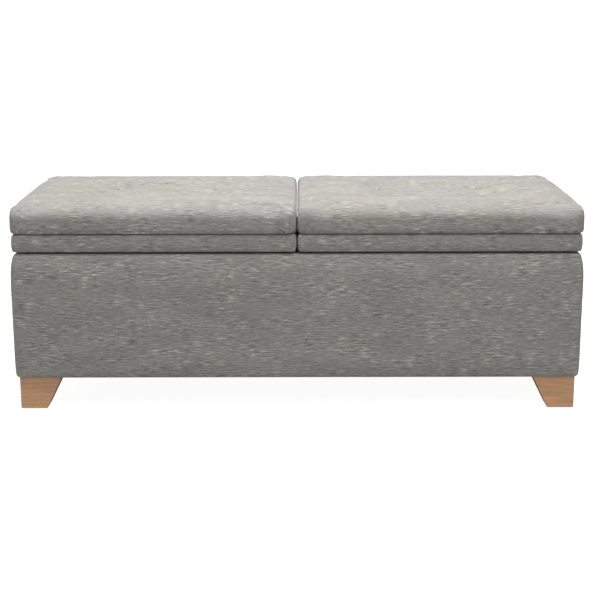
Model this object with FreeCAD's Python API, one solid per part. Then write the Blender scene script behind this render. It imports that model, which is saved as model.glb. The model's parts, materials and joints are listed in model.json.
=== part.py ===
"""Upholstered storage bench with two lids, as an assembly of its real pieces.

The base is a plywood box, padded and covered in fabric, on four tapered wooden legs.
Each lid is a pine frame covered in fabric, with a button-tufted cushion on top of it.
A lid turns on two butt hinges at the back, and a slotted stay at its outer end holds it open.

Frame: +X to the right, +Y to the back, +Z up. The origin is on the floor, at the middle of
the bench's length and depth. Lengths are in millimetres and angles in degrees.
"""
import FreeCAD, Part
import math
import os

V = FreeCAD.Vector

# ---- The whole bench ---------------------------------------------------------------------
BENCH_LENGTH = 1280.0
BENCH_DEPTH = 510.0
BASE_HEIGHT = 285.5
BAND_HEIGHT = 40.0
CUSHION_HEIGHT = 63.0

# ---- Cloth and foam ----------------------------------------------------------------------
COVER = 1.2  # upholstery fabric
LINING = 0.8  # non-woven cloth inside the bins and under the lids
DUST_CLOTH = 0.8
WALL_PADDING = 12.0
TURN_UNDER = 30.0  # width of the fabric that is stapled under the base and the cushions

# ---- Base box ----------------------------------------------------------------------------
WALL_PLY = 12.0
FLOOR_PLY = 9.0
DIVIDER_PLY = 12.0
HINGE_RAIL = 30.0  # square pine rail that takes the hinge screws
CORNER_BLOCK = 110.0
BLOCK_HEIGHT = 20.0
CLEAT_WIDTH = 20.0
BASE_CORNER_ROUND = 14.0
BASE_TOP_ROUND = 11.0
BASE_BOTTOM_ROUND = 9.0

# ---- Legs --------------------------------------------------------------------------------
LEG_HEIGHT = 74.0
LEG_TOP = 96.0  # side of the square top
LEG_FOOT = 60.0  # side of the square foot
LEG_INSET = 9.0  # from the faces of the base
LEG_EASE = 2.0  # rounding of its edges
BOLT_RADIUS = 4.0
BOLT_IN_LEG = 40.0
BOLT_FROM_FACE = 38.0  # from the leg's outer faces to the bolt
TEE_BARREL_RADIUS = 5.0
TEE_BARREL_LENGTH = 9.0
TEE_FLANGE_RADIUS = 11.0
TEE_FLANGE = 1.5
GLIDE_RADIUS = 16.0
GLIDE_THICKNESS = 2.0
GLIDE_NAIL_RADIUS = 1.2
GLIDE_NAIL_LENGTH = 15.0

# ---- Lids --------------------------------------------------------------------------------
LID_OPEN = 80.0  # how far a lid turns
BAND_INSET = 7.0  # from the faces of the base
BAND_SEAM = 7.0  # between the two bands
BAND_CORNER_ROUND = 4.8
BAND_EDGE_ROUND = 3.3
RAIL_THICKNESS = 30.0
LINING_DROP = 3.0  # from the top of the frame to the lining's underside
CUSHION_INSET = 3.5
CUSHION_SEAM = 2.4  # between the two cushions
CUSHION_CORNER_ROUND = 28.8
CUSHION_TOP_ROUND = 25.8
CUSHION_BOTTOM_ROUND = 4.8
LID_PLY = 9.0
EDGE_FOAM = 8.0  # foam round the edge of the lid board
BUMPER_RADIUS = 6.0
BUMPER_FROM_SEAM = 30.0
BUMPER_FROM_END = 40.0

# ---- Tufts -------------------------------------------------------------------------------
TUFT_SPACING_X = 250.0
TUFT_SPACING_Y = 172.0
TUFT_DEPTH = 14.0
TUFT_MOUTH_RADIUS = 34.0
TUFT_FLOOR_RADIUS = 11.0
BUTTON_RADIUS = 9.5
BUTTON_RIM = 2.0
BUTTON_DOME = 3.5
TIE_RADIUS = 1.0
TIE_WASHER_RADIUS = 8.0
TIE_WASHER = 1.5

# ---- Hinges ------------------------------------------------------------------------------
HINGE_LENGTH = 64.0
HINGE_SPREAD = 400.0  # between the two hinges of a lid
LEAF_WIDTH = 36.0
LEAF = 1.5
LEAF_CLEARANCE = 0.4  # between the closed leaves
KNUCKLES = 5
KNUCKLE_RADIUS = 3.5
KNUCKLE_GAP = 0.3
KNUCKLE_CLEARANCE = 0.69  # from the knuckles to the rounded edge of the base
PIN_RADIUS = 1.75
PIN_CLEARANCE = 0.05
HINGE_SCREW_FROM_WALL = 4.0  # from the back panel's inner face
HINGE_SCREW_SPACING = 22.0

# ---- Wood screws -------------------------------------------------------------------------
SCREW_RADIUS = 1.6
SCREW_HEAD_RADIUS = 3.2
HINGE_SCREW_LENGTH = 22.0
STAY_SCREW_LENGTH = 10.0

# ---- Slotted lid stays -------------------------------------------------------------------
STAY_STUD_DROP = 26.0  # angle of the stud below the hinge axis
STAY_FLOOR_CLEARANCE = 35.0  # from the shut arm's end to the bottom of the bin
STAY_PIVOT_RISE = 18.0  # from the underside of the lid to the pivot
ARM_THICKNESS = 2.5
ARM_WIDTH = 16.0
ARM_CLEARANCE = 0.2  # each side of the arm
SLOT_CLEARANCE = 0.25
SLOT_SPARE = 3.0
STUD_POST_RADIUS = 5.0
STUD_NECK_RADIUS = 2.9
RIVET_RADIUS = 3.0
RIVET_CLEARANCE = 0.05
STAY_HEAD_RADIUS = 5.5
STAY_HEAD = 2.0
BRACKET = 2.0
BRACKET_LENGTH = 44.0
BRACKET_HEIGHT = 22.0
BRACKET_BOSS_RADIUS = 6.5
BRACKET_BOSS = 1.6
STAY_SCREW_SPACING = 30.0

# ---- Levels, from the floor up -----------------------------------------------------------
leg_foot_z = GLIDE_THICKNESS
base_z = leg_foot_z + LEG_HEIGHT
rim_z = base_z + BASE_HEIGHT
wall_z = (base_z + DUST_CLOTH + COVER, rim_z - COVER)
floor_z = (wall_z[0] + BLOCK_HEIGHT, wall_z[0] + BLOCK_HEIGHT + FLOOR_PLY)
lining_top = wall_z[1] - HINGE_RAIL
LID_GAP = 2 * LEAF + LEAF_CLEARANCE
band_z = (rim_z + LID_GAP, rim_z + LID_GAP + BAND_HEIGHT)
cushion_z = (band_z[1], band_z[1] + CUSHION_HEIGHT)

# ---- Half sizes of the base, from the outside in -----------------------------------------
half_x = BENCH_LENGTH / 2
half_y = BENCH_DEPTH / 2
wall_x = half_x - COVER - WALL_PADDING  # outer face of the plywood
wall_y = half_y - COVER - WALL_PADDING
inner_x = wall_x - WALL_PLY  # inner face of the plywood
inner_y = wall_y - WALL_PLY
rail_front_y = inner_y - HINGE_RAIL

# ---- The right-hand lid; the left one is its mirror image --------------------------------
band_x = (BAND_SEAM / 2, half_x - BAND_INSET)
band_y = half_y - BAND_INSET
core_x = (band_x[0] + COVER, band_x[1] - COVER)
core_y = band_y - COVER
recess_x = (core_x[0] + RAIL_THICKNESS, core_x[1] - RAIL_THICKNESS)
recess_y = core_y - RAIL_THICKNESS
cushion_x = (CUSHION_SEAM / 2, half_x - CUSHION_INSET)
cushion_y = half_y - CUSHION_INSET
lid_middle = (band_x[0] + band_x[1]) / 2

# ---- Where the lids turn -----------------------------------------------------------------
edge_round = BASE_TOP_ROUND + COVER
axis_z = rim_z + LID_GAP / 2
axis_y = half_y - edge_round + math.sqrt(
    (edge_round + KNUCKLE_RADIUS + KNUCKLE_CLEARANCE) ** 2 - (edge_round + LID_GAP / 2) ** 2
)
hinge_screw_y = inner_y - HINGE_SCREW_FROM_WALL
hinge_middles = [lid_middle - HINGE_SPREAD / 2, lid_middle + HINGE_SPREAD / 2]


# ---- Tools -------------------------------------------------------------------------------
def block(x, y, z):
    """A box from three (low, high) pairs."""
    return Part.makeBox(x[1] - x[0], y[1] - y[0], z[1] - z[0], V(x[0], y[0], z[0]))


def both(half):
    """The (low, high) pair of a size that is centred on the origin."""
    return (-half, half)


def round_edges(solid, radius, chosen):
    """Rounds the edges for which chosen(edge) is true."""
    edges = [edge for edge in solid.Edges if chosen(edge)]
    return solid.makeFillet(radius, edges) if radius > 0 and edges else solid


def at_height(z):
    """Chooses the edges that lie level at height z."""
    return lambda edge: all(abs(v.Z - z) < 1e-6 for v in edge.Vertexes)


def is_upright(edge):
    ends = edge.Vertexes
    return len(ends) == 2 and math.dist(ends[0].Point[:2], ends[1].Point[:2]) < 1e-6


def rounded_block(x, y, z, corner, top=0.0, bottom=0.0):
    """A box with rounded upright edges, and tighter rounded edges round its top and bottom."""
    tightest = 0.95 * corner
    solid = round_edges(block(x, y, z), corner, is_upright)
    solid = round_edges(solid, min(top, tightest), at_height(z[1]))
    return round_edges(solid, min(bottom, tightest), at_height(z[0]))


def rod(radius, start, direction, length):
    return Part.makeCylinder(radius, length, start, direction)


def join(shapes):
    """One solid from shapes that touch or overlap."""
    return shapes[0].fuse(shapes[1:]).removeSplitter()


def group(shapes):
    """Separate solids that share a node."""
    return Part.makeCompound([solid for shape in shapes for solid in shape.Solids])


def mirrored(shape):
    """The same piece on the other side of the bench's middle."""
    return shape.mirror(V(0, 0, 0), V(1, 0, 0))


def both_sides(shapes):
    return shapes + [mirrored(shape) for shape in shapes]


def save(name, shape):
    if not shape.isValid():
        raise ValueError(f"{name} is not a valid shape")
    shape.exportStep(f"parts/{name}.step")
    print(f"{name}: {len(shape.Solids)} solids, {shape.Volume / 1000:.1f} cm3")


def save_pair(name, right_shape):
    """Saves a right-hand piece and its left-hand mirror image."""
    save(f"right_{name}", right_shape)
    save(f"left_{name}", mirrored(right_shape))


def wood_screw(face, direction, length):
    """A countersunk screw whose flat head is flush with a surface at the point face."""
    tip = 2 * SCREW_RADIUS
    head = SCREW_HEAD_RADIUS - SCREW_RADIUS
    cone = Part.makeCone(SCREW_HEAD_RADIUS, SCREW_RADIUS, head, face, direction)
    shank = rod(SCREW_RADIUS, face + direction * head, direction, length - head - tip)
    point = Part.makeCone(SCREW_RADIUS, 0, tip, face + direction * (length - tip), direction)
    return join([cone, shank, point])


# ---- Fasteners, which the wood and cloth are then drilled for ----------------------------
def hinge_screws(head_z, direction):
    """The six screws that hold one side of a lid's two hinges."""
    places = [
        V(middle + step * HINGE_SCREW_SPACING, hinge_screw_y, head_z)
        for middle in hinge_middles
        for step in (-1, 0, 1)
    ]
    return [wood_screw(place, direction, HINGE_SCREW_LENGTH) for place in places]


def stay_screws(face_x, y, z):
    """Two screws that hold a stay's plate against a wall or a rail on the right."""
    places = [V(face_x, y + side * STAY_SCREW_SPACING / 2, z) for side in (-1, 1)]
    return [wood_screw(place, V(1, 0, 0), STAY_SCREW_LENGTH) for place in places]


# The stay's pivot and stud are equally far from the hinge axis, so that the line from one
# to the other turns at exactly half the lid's rate.
pivot_rise = STAY_PIVOT_RISE + LID_GAP / 2
pivot_z = axis_z + pivot_rise


def pivot_to_stud(reach, lid_angle):
    """The distance from the pivot to the stud, when both are at reach from the hinge axis."""
    between = STAY_STUD_DROP + math.degrees(math.asin(pivot_rise / reach)) + lid_angle
    return 2 * reach * math.sin(math.radians(between / 2))


def shut_arm_end(reach):
    """The height of the shut arm's lower end. The arm has to reach the stud of an open lid."""
    length = pivot_to_stud(reach, LID_OPEN) + ARM_WIDTH / 2
    stud_below_pivot = pivot_rise + reach * math.sin(math.radians(STAY_STUD_DROP))
    return pivot_z - length * stud_below_pivot / pivot_to_stud(reach, 0)


def longest_reach():
    """The reach whose shut arm ends just above the bottom of the bin, by halving."""
    lowest_end = floor_z[1] + LINING + STAY_FLOOR_CLEARANCE
    short, long = 2 * pivot_rise, axis_z
    while long - short > 1e-6:
        middle = (short + long) / 2
        if shut_arm_end(middle) > lowest_end:
            short = middle
        else:
            long = middle
    return short


stay_reach = longest_reach()
pivot_y = axis_y - math.sqrt(stay_reach**2 - pivot_rise**2)
stud_y = axis_y - stay_reach * math.cos(math.radians(STAY_STUD_DROP))
stud_z = axis_z - stay_reach * math.sin(math.radians(STAY_STUD_DROP))
shut_distance = pivot_to_stud(stay_reach, 0)
open_distance = pivot_to_stud(stay_reach, LID_OPEN)

bracket_face = recess_x[1] - COVER  # where the lid bracket bears on the frame's fabric
boss_face = bracket_face - BRACKET - BRACKET_BOSS
arm_x = (boss_face - ARM_CLEARANCE - ARM_THICKNESS, boss_face - ARM_CLEARANCE)
head_x = (arm_x[0] - ARM_CLEARANCE - STAY_HEAD, arm_x[0] - ARM_CLEARANCE)
stud_face = inner_x - LINING  # where the stud's plate bears on the bin's lining

base_screws = both_sides(
    hinge_screws(rim_z + LEAF, V(0, 0, -1)) + stay_screws(stud_face - BRACKET, stud_y, stud_z)
)
lid_screws = hinge_screws(band_z[0] - LEAF, V(0, 0, 1)) + stay_screws(
    bracket_face - BRACKET, pivot_y, pivot_z
)


# ---- Legs and what holds them ------------------------------------------------------------
leg_face_x = half_x - LEG_INSET
leg_face_y = half_y - LEG_INSET


def at_each_corner(make):
    """Calls make(x_side, y_side) for the four corners of the bench."""
    return [make(x_side, y_side) for x_side in (-1, 1) for y_side in (-1, 1)]


def square_at_corner(x_side, y_side, side, z):
    """A square outline whose outer corner is the leg's outer corner."""
    x = (x_side * leg_face_x, x_side * (leg_face_x - side))
    y = (y_side * leg_face_y, y_side * (leg_face_y - side))
    points = [V(x[0], y[0], z), V(x[1], y[0], z), V(x[1], y[1], z), V(x[0], y[1], z)]
    return Part.makePolygon(points + points[:1])


def leg_bolt(x_side, y_side):
    """Hanger bolt: a wood thread down into the leg, a machine thread up into the base."""
    x = x_side * (leg_face_x - BOLT_FROM_FACE)
    y = y_side * (leg_face_y - BOLT_FROM_FACE)
    top = wall_z[0] + BLOCK_HEIGHT
    bottom = base_z - BOLT_IN_LEG
    point = Part.makeCone(0, BOLT_RADIUS, BOLT_RADIUS, V(x, y, bottom), V(0, 0, 1))
    start = V(x, y, bottom + BOLT_RADIUS)
    return join([point, rod(BOLT_RADIUS, start, V(0, 0, 1), top - start.z)])


def tee_nut(x_side, y_side):
    """The nut let into the top of a corner block, around the end of the hanger bolt."""
    x = x_side * (leg_face_x - BOLT_FROM_FACE)
    y = y_side * (leg_face_y - BOLT_FROM_FACE)
    top = wall_z[0] + BLOCK_HEIGHT
    barrel_bottom = top - TEE_FLANGE - TEE_BARREL_LENGTH
    flange = rod(TEE_FLANGE_RADIUS, V(x, y, top - TEE_FLANGE), V(0, 0, 1), TEE_FLANGE)
    barrel = rod(TEE_BARREL_RADIUS, V(x, y, barrel_bottom), V(0, 0, 1), TEE_BARREL_LENGTH)
    bore = rod(BOLT_RADIUS, V(x, y, barrel_bottom), V(0, 0, 1), top - barrel_bottom)
    return join([flange, barrel]).cut(bore)


def glide(x_side, y_side):
    """A nail-on glide under the middle of a leg's foot."""
    x = x_side * (leg_face_x - LEG_FOOT / 2)
    y = y_side * (leg_face_y - LEG_FOOT / 2)
    pad = rod(GLIDE_RADIUS, V(x, y, 0), V(0, 0, 1), GLIDE_THICKNESS)
    nail = rod(GLIDE_NAIL_RADIUS, V(x, y, 0), V(0, 0, 1), GLIDE_THICKNESS + GLIDE_NAIL_LENGTH)
    return join([pad, nail])


leg_bolts = at_each_corner(leg_bolt)
tee_nuts = at_each_corner(tee_nut)
glides = at_each_corner(glide)


def leg(x_side, y_side):
    """A tapered block with two upright outer faces and two sloping inner ones."""
    outlines = [
        square_at_corner(x_side, y_side, LEG_FOOT, leg_foot_z),
        square_at_corner(x_side, y_side, LEG_TOP, base_z),
    ]
    solid = Part.makeLoft(outlines, True, True)
    top_edges = at_height(base_z)
    solid = round_edges(solid, LEG_EASE, lambda edge: not top_edges(edge))
    return solid.cut(leg_bolts + glides)


def save_legs():
    for x_side, x_name in ((-1, "left"), (1, "right")):
        for y_side, y_name in ((-1, "front"), (1, "back")):
            save(f"{y_name}_{x_name}_leg", leg(x_side, y_side))
    save("leg_bolts", group(leg_bolts))
    save("leg_tee_nuts", group(tee_nuts))
    save("leg_glides", group(glides))


# ---- Plywood box -------------------------------------------------------------------------
def save_box():
    screws = group(base_screws)
    for name, side in (("front", -1), ("back", 1)):
        y = sorted((side * wall_y, side * inner_y))
        save(f"{name}_panel", block(both(wall_x), y, wall_z))
    for name, side in (("left", -1), ("right", 1)):
        x = sorted((side * wall_x, side * inner_x))
        save(f"{name}_side_panel", block(x, both(inner_y), wall_z).cut(screws))
    save("floor_panel", block(both(inner_x), both(inner_y), floor_z))
    divider_z = (floor_z[1], lining_top)
    save("centre_divider", block(both(DIVIDER_PLY / 2), both(inner_y), divider_z))
    hinge_rail = block(both(inner_x), (rail_front_y, inner_y), (lining_top, wall_z[1]))
    save("hinge_rail", hinge_rail.cut(screws))


def corner_block(x_side, y_side):
    x = sorted((x_side * inner_x, x_side * (inner_x - CORNER_BLOCK)))
    y = sorted((y_side * inner_y, y_side * (inner_y - CORNER_BLOCK)))
    return block(x, y, (wall_z[0], floor_z[0])).cut(leg_bolts + tee_nuts)


def save_blocking():
    """The pine under the floor: blocks that the legs screw to, and cleats between them."""
    save("corner_blocks", group(at_each_corner(corner_block)))
    x, z = both(inner_x - CORNER_BLOCK), (wall_z[0], floor_z[0])
    front = block(x, (-inner_y, -inner_y + CLEAT_WIDTH), z)
    back = block(x, (inner_y - CLEAT_WIDTH, inner_y), z)
    save("floor_cleats", group([front, back]))


# ---- Padding and cloth of the base -------------------------------------------------------
def base_form(grow):
    """The padded base's rounded form, grown by the thickness of what lies over it."""
    return rounded_block(
        both(wall_x + WALL_PADDING + grow),
        both(wall_y + WALL_PADDING + grow),
        (wall_z[0] - grow, wall_z[1] + grow),
        BASE_CORNER_ROUND + grow,
        BASE_TOP_ROUND + grow,
        BASE_BOTTOM_ROUND + grow,
    )


def save_base_padding():
    """Foam sheet glued to the four walls: long pieces at the front and back, short at the ends."""
    everywhere = (-BENCH_LENGTH, BENCH_LENGTH)
    foam = base_form(0).cut(block(both(wall_x), both(wall_y), wall_z))
    save("front_padding", foam.common(block(everywhere, (-BENCH_DEPTH, -wall_y), wall_z)))
    save("back_padding", foam.common(block(everywhere, (wall_y, BENCH_DEPTH), wall_z)))
    save("left_padding", foam.common(block((-BENCH_LENGTH, -wall_x), both(wall_y), wall_z)))
    save("right_padding", foam.common(block((wall_x, BENCH_LENGTH), both(wall_y), wall_z)))


def save_base_cover():
    """Fabric over the padding, turned down inside the rim and stapled under the base."""
    skin = base_form(COVER).cut(base_form(0))
    mouth_x, mouth_y = both(inner_x), (-inner_y, rail_front_y)
    trimmed_x = both(inner_x - COVER)
    trimmed_y = (mouth_y[0] + COVER, mouth_y[1] - COVER)
    tall = (lining_top, rim_z)
    hem = block(mouth_x, mouth_y, tall).cut(block(trimmed_x, trimmed_y, tall))
    skin = skin.cut(block(trimmed_x, trimmed_y, tall))
    underneath = block(both(half_x - TURN_UNDER), both(half_y - TURN_UNDER), (base_z, wall_z[0]))
    skin = join([skin.cut(underneath), hem])
    save("base_cover", skin.cut(group(base_screws)))


def save_dust_cover():
    edge = BASE_BOTTOM_ROUND + COVER + 2.0
    sheet = block(both(half_x - edge), both(half_y - edge), (base_z, base_z + DUST_CLOTH))
    save("dust_cover", sheet.cut(leg_bolts))


def save_bin_linings():
    """A cloth tray in each bin, with a lip that covers half of the divider's top edge."""
    outside = [(DIVIDER_PLY / 2, inner_x), both(inner_y), (floor_z[1], lining_top)]
    inside = [
        (DIVIDER_PLY / 2 + LINING, inner_x - LINING),
        both(inner_y - LINING),
        (floor_z[1] + LINING, lining_top),
    ]
    lip = block(
        (0, DIVIDER_PLY / 2 + LINING),
        (-inner_y + COVER, rail_front_y - COVER),
        (lining_top, lining_top + LINING),
    )
    tray = join([block(*outside).cut(block(*inside)), lip])
    save_pair("bin_lining", tray.cut(group(base_screws)))


# ---- Lid frame ---------------------------------------------------------------------------
def band_form(grow):
    """The frame's rounded form, grown by the thickness of the fabric over it."""
    return rounded_block(
        (core_x[0] - grow, core_x[1] + grow),
        both(core_y + grow),
        (band_z[0] + COVER - grow, band_z[1] - COVER + grow),
        BAND_CORNER_ROUND + grow,
        BAND_EDGE_ROUND + grow,
        BAND_EDGE_ROUND + grow,
    )


def save_lid_frame():
    """Four pine rails, the long ones running the full length of the lid."""
    frame = band_form(0).cut(group(lid_screws))
    end_y = both(recess_y)
    save_pair("lid_front_rail", frame.common(block(core_x, (-core_y, -recess_y), band_z)))
    save_pair("lid_back_rail", frame.common(block(core_x, (recess_y, core_y), band_z)))
    save_pair("lid_inner_rail", frame.common(block((core_x[0], recess_x[0]), end_y, band_z)))
    save_pair("lid_outer_rail", frame.common(block((recess_x[1], core_x[1]), end_y, band_z)))


def save_lid_band():
    """Fabric round the frame, turned up inside the recess, and the recess's flat lining."""
    skin = band_form(COVER).cut(band_form(0)).cut(block(recess_x, both(recess_y), band_z))
    sheet_z = (band_z[1] - LINING_DROP, band_z[1] - LINING_DROP + LINING)
    hem_z = (band_z[0], sheet_z[0])
    opening = block((recess_x[0] + COVER, recess_x[1] - COVER), both(recess_y - COVER), hem_z)
    hem = block(recess_x, both(recess_y), hem_z).cut(opening)
    save_pair("lid_band_cover", join([skin, hem]).cut(group(lid_screws)))
    save_pair("lid_lining", block(recess_x, both(recess_y), sheet_z))


# ---- Tufted cushion ----------------------------------------------------------------------
cushion_middle = (cushion_x[0] + cushion_x[1]) / 2
tuft_places = [
    (cushion_middle + x_side * TUFT_SPACING_X / 2, y_side * TUFT_SPACING_Y / 2)
    for x_side in (-1, 1)
    for y_side in (-1, 1)
]
tuft_floor = cushion_z[1] - TUFT_DEPTH
board_z = (cushion_z[0] + COVER, cushion_z[0] + COVER + LID_PLY)


def dimple(x, y, drop):
    """The hollow that a button pulls into the cushion, lowered by drop."""
    floor = V(x, y, tuft_floor - drop)
    return Part.makeCone(TUFT_FLOOR_RADIUS, TUFT_MOUTH_RADIUS, TUFT_DEPTH + drop, floor, V(0, 0, 1))


def tie(x, y):
    """Twine from a button down through the board, with a washer under the board."""
    bottom = board_z[0] - TIE_WASHER
    twine = rod(TIE_RADIUS, V(x, y, bottom), V(0, 0, 1), tuft_floor - bottom)
    washer = rod(TIE_WASHER_RADIUS, V(x, y, bottom), V(0, 0, 1), TIE_WASHER)
    return join([twine, washer])


def button(x, y):
    """A fabric-covered button: a short rim under a shallow dome."""
    height = BUTTON_RIM + BUTTON_DOME
    dome_radius = (BUTTON_RADIUS**2 + BUTTON_DOME**2) / (2 * BUTTON_DOME)
    ball = Part.makeSphere(dome_radius, V(x, y, tuft_floor + height - dome_radius))
    return ball.common(rod(BUTTON_RADIUS, V(x, y, tuft_floor), V(0, 0, 1), height))


ties = [tie(x, y) for x, y in tuft_places]


def cushion_form(grow):
    """The cushion's rounded form with its dimples, grown by the thickness over it."""
    inset = COVER - grow
    solid = rounded_block(
        (cushion_x[0] + inset, cushion_x[1] - inset),
        both(cushion_y - inset),
        (cushion_z[0] + inset, cushion_z[1] - inset),
        CUSHION_CORNER_ROUND + grow,
        CUSHION_TOP_ROUND + grow,
        CUSHION_BOTTOM_ROUND + grow,
    )
    return solid.cut([dimple(x, y, inset) for x, y in tuft_places])


def save_cushion():
    board = rounded_block(
        (cushion_x[0] + COVER + EDGE_FOAM, cushion_x[1] - COVER - EDGE_FOAM),
        both(cushion_y - COVER - EDGE_FOAM),
        board_z,
        CUSHION_CORNER_ROUND - EDGE_FOAM,
    )
    save_pair("lid_board", board.cut(ties))
    save_pair("cushion_foam", cushion_form(0).cut([board] + ties))
    underneath = block(
        (cushion_x[0] + TURN_UNDER, cushion_x[1] - TURN_UNDER),
        both(cushion_y - TURN_UNDER),
        (cushion_z[0], board_z[0]),
    )
    skin = cushion_form(COVER).cut(cushion_form(0)).cut([underneath] + ties)
    save_pair("cushion_cover", skin)
    save_pair("tuft_buttons", group([button(x, y) for x, y in tuft_places]))
    save_pair("tuft_ties", group(ties))


# ---- Butt hinges -------------------------------------------------------------------------
def knuckle_span(middle, index):
    """The (low, high) x of one knuckle, counted from the hinge's left end."""
    pitch = HINGE_LENGTH / KNUCKLES
    start = middle - HINGE_LENGTH / 2 + index * pitch
    return (start + KNUCKLE_GAP / 2, start + pitch - KNUCKLE_GAP / 2)


def hinge_leaf(middle, leaf_z, own, bore_radius):
    """A leaf and its own knuckles, cut clear of the other leaf's knuckles."""
    x = (middle - HINGE_LENGTH / 2, middle + HINGE_LENGTH / 2)
    plate = block(x, (axis_y - LEAF_WIDTH, axis_y), leaf_z)
    axis = V(1, 0, 0)
    spans = [knuckle_span(middle, index) for index in range(KNUCKLES)]
    barrels, notches = [], []
    for index, span in enumerate(spans):
        if index % 2 == own:
            barrels.append(rod(KNUCKLE_RADIUS, V(span[0], axis_y, axis_z), axis, span[1] - span[0]))
        else:
            start = V(span[0] - KNUCKLE_GAP, axis_y, axis_z)
            length = span[1] - span[0] + 2 * KNUCKLE_GAP
            notches.append(rod(KNUCKLE_RADIUS + KNUCKLE_GAP, start, axis, length))
    bore = rod(bore_radius, V(x[0], axis_y, axis_z), axis, HINGE_LENGTH)
    return join([plate.cut(notches)] + barrels).cut(bore)


def save_hinges():
    screws = group(base_screws)
    base_leaf_z = (rim_z, rim_z + LEAF)
    lid_leaf_z = (band_z[0] - LEAF, band_z[0])
    base_leaves = [hinge_leaf(middle, base_leaf_z, 0, PIN_RADIUS) for middle in hinge_middles]
    save("hinge_base_leaves", group([leaf.cut(screws) for leaf in both_sides(base_leaves)]))
    start_x = -HINGE_LENGTH / 2
    pins = [
        rod(PIN_RADIUS, V(middle + start_x, axis_y, axis_z), V(1, 0, 0), HINGE_LENGTH)
        for middle in hinge_middles
    ]
    save("hinge_pins", group(both_sides(pins)))
    bore = PIN_RADIUS + PIN_CLEARANCE
    lid_leaves = [hinge_leaf(middle, lid_leaf_z, 1, bore) for middle in hinge_middles]
    save_pair("hinge_leaves", group([leaf.cut(group(lid_screws)) for leaf in lid_leaves]))


def save_screws():
    save("base_screws", group(base_screws))
    save_pair("lid_screws", group(lid_screws))


# ---- Slotted lid stays -------------------------------------------------------------------
def along_arm(distance):
    """The (y, z) point on the closed arm's centre line at a distance from its pivot."""
    share = distance / shut_distance
    return pivot_y + share * (stud_y - pivot_y), pivot_z + share * (stud_z - pivot_z)


def long_plate(start, end, radius, x):
    """A plate with round ends, from one distance along the arm to another."""
    (y0, z0), (y1, z1) = along_arm(start), along_arm(end)
    run = math.dist((y0, z0), (y1, z1))
    side = V(0, -(z1 - z0), y1 - y0) * (radius / run)
    corners = [V(x[0], y0, z0) + side, V(x[0], y1, z1) + side, V(x[0], y1, z1) - side]
    corners += [V(x[0], y0, z0) - side]
    middle = Part.Face(Part.makePolygon(corners + corners[:1])).extrude(V(x[1] - x[0], 0, 0))
    ends = [rod(radius, V(x[0], y, z), V(1, 0, 0), x[1] - x[0]) for y, z in ((y0, z0), (y1, z1))]
    return join([middle] + ends)


def save_stay_arm():
    """A flat arm that hangs from the lid's pivot, with a slot that runs on the stud."""
    slot_radius = STUD_NECK_RADIUS + SLOT_CLEARANCE
    slot_start = shut_distance - SLOT_SPARE
    slot_end = open_distance
    arm = long_plate(0, slot_end + ARM_WIDTH / 2, ARM_WIDTH / 2, arm_x)
    slot = long_plate(slot_start, slot_end, slot_radius, arm_x)
    hole_radius = RIVET_RADIUS + RIVET_CLEARANCE
    hole = rod(hole_radius, V(arm_x[0], pivot_y, pivot_z), V(1, 0, 0), ARM_THICKNESS)
    save_pair("stay_arm", arm.cut([slot, hole]))


def stay_plate(face_x, y, z):
    """A small plate with a post side facing the middle of the bench."""
    plate_y = (y - BRACKET_LENGTH / 2, y + BRACKET_LENGTH / 2)
    plate_z = (z - BRACKET_HEIGHT / 2, z + BRACKET_HEIGHT / 2)
    return block((face_x - BRACKET, face_x), plate_y, plate_z)


def turned(y, z, steps):
    """Round steps along X, each given as (radius, low x, high x)."""
    return [rod(radius, V(low, y, z), V(1, 0, 0), high - low) for radius, low, high in steps]


def save_stay_fittings():
    """The bracket with its rivet on the lid, and the headed stud on the bin's wall."""
    bracket_steps = [
        (BRACKET_BOSS_RADIUS, boss_face, bracket_face),
        (RIVET_RADIUS, head_x[0], boss_face),
        (STAY_HEAD_RADIUS, *head_x),
    ]
    bracket = stay_plate(bracket_face, pivot_y, pivot_z)
    bracket = join([bracket] + turned(pivot_y, pivot_z, bracket_steps))
    save_pair("stay_lid_bracket", bracket.cut(group(lid_screws)))
    stud_steps = [
        (STUD_POST_RADIUS, boss_face, stud_face),
        (STUD_NECK_RADIUS, head_x[0], boss_face),
        (STAY_HEAD_RADIUS, *head_x),
    ]
    stud = join([stay_plate(stud_face, stud_y, stud_z)] + turned(stud_y, stud_z, stud_steps))
    save_pair("stay_wall_stud", stud.cut(group(base_screws)))


# ---- Bumpers under the lids' front corners -----------------------------------------------
def save_bumpers():
    y = -(wall_y - BUMPER_RADIUS)
    places = (BUMPER_FROM_SEAM, half_x - BUMPER_FROM_END)
    bumpers = [rod(BUMPER_RADIUS, V(x, y, rim_z), V(0, 0, 1), LID_GAP) for x in places]
    save("lid_bumpers", group(both_sides(bumpers)))


def main():
    os.makedirs("parts", exist_ok=True)
    save_legs()
    save_box()
    save_blocking()
    save_base_padding()
    save_base_cover()
    save_dust_cover()
    save_bin_linings()
    save_lid_frame()
    save_lid_band()
    save_cushion()
    save_hinges()
    save_screws()
    save_stay_arm()
    save_stay_fittings()
    save_bumpers()
    print(f"hinge axis: y {axis_y:.4f}, z {axis_z:.4f}")
    print(f"stay pivot: x {sum(arm_x) / 2:.4f}, y {pivot_y:.4f}, z {pivot_z:.4f}")
    print(f"stay stud: y {stud_y:.4f}, z {stud_z:.4f}, reach {stay_reach:.4f}")


main()
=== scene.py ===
# %% [markdown]
# # An upholstered storage bench with two lids
#
# The bench is a padded, fabric-covered box on four wooden legs, under two hinged lids with
# tufted cushions. Its hard parts come ready-made from the CAD frame: legs, panels, rails,
# hinges and lid stays. This script adds what cloth and foam do, and gives every part its
# finish. Every measure is in metres, in the frame's own axes: +X right, +Y back, +Z up.

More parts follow.
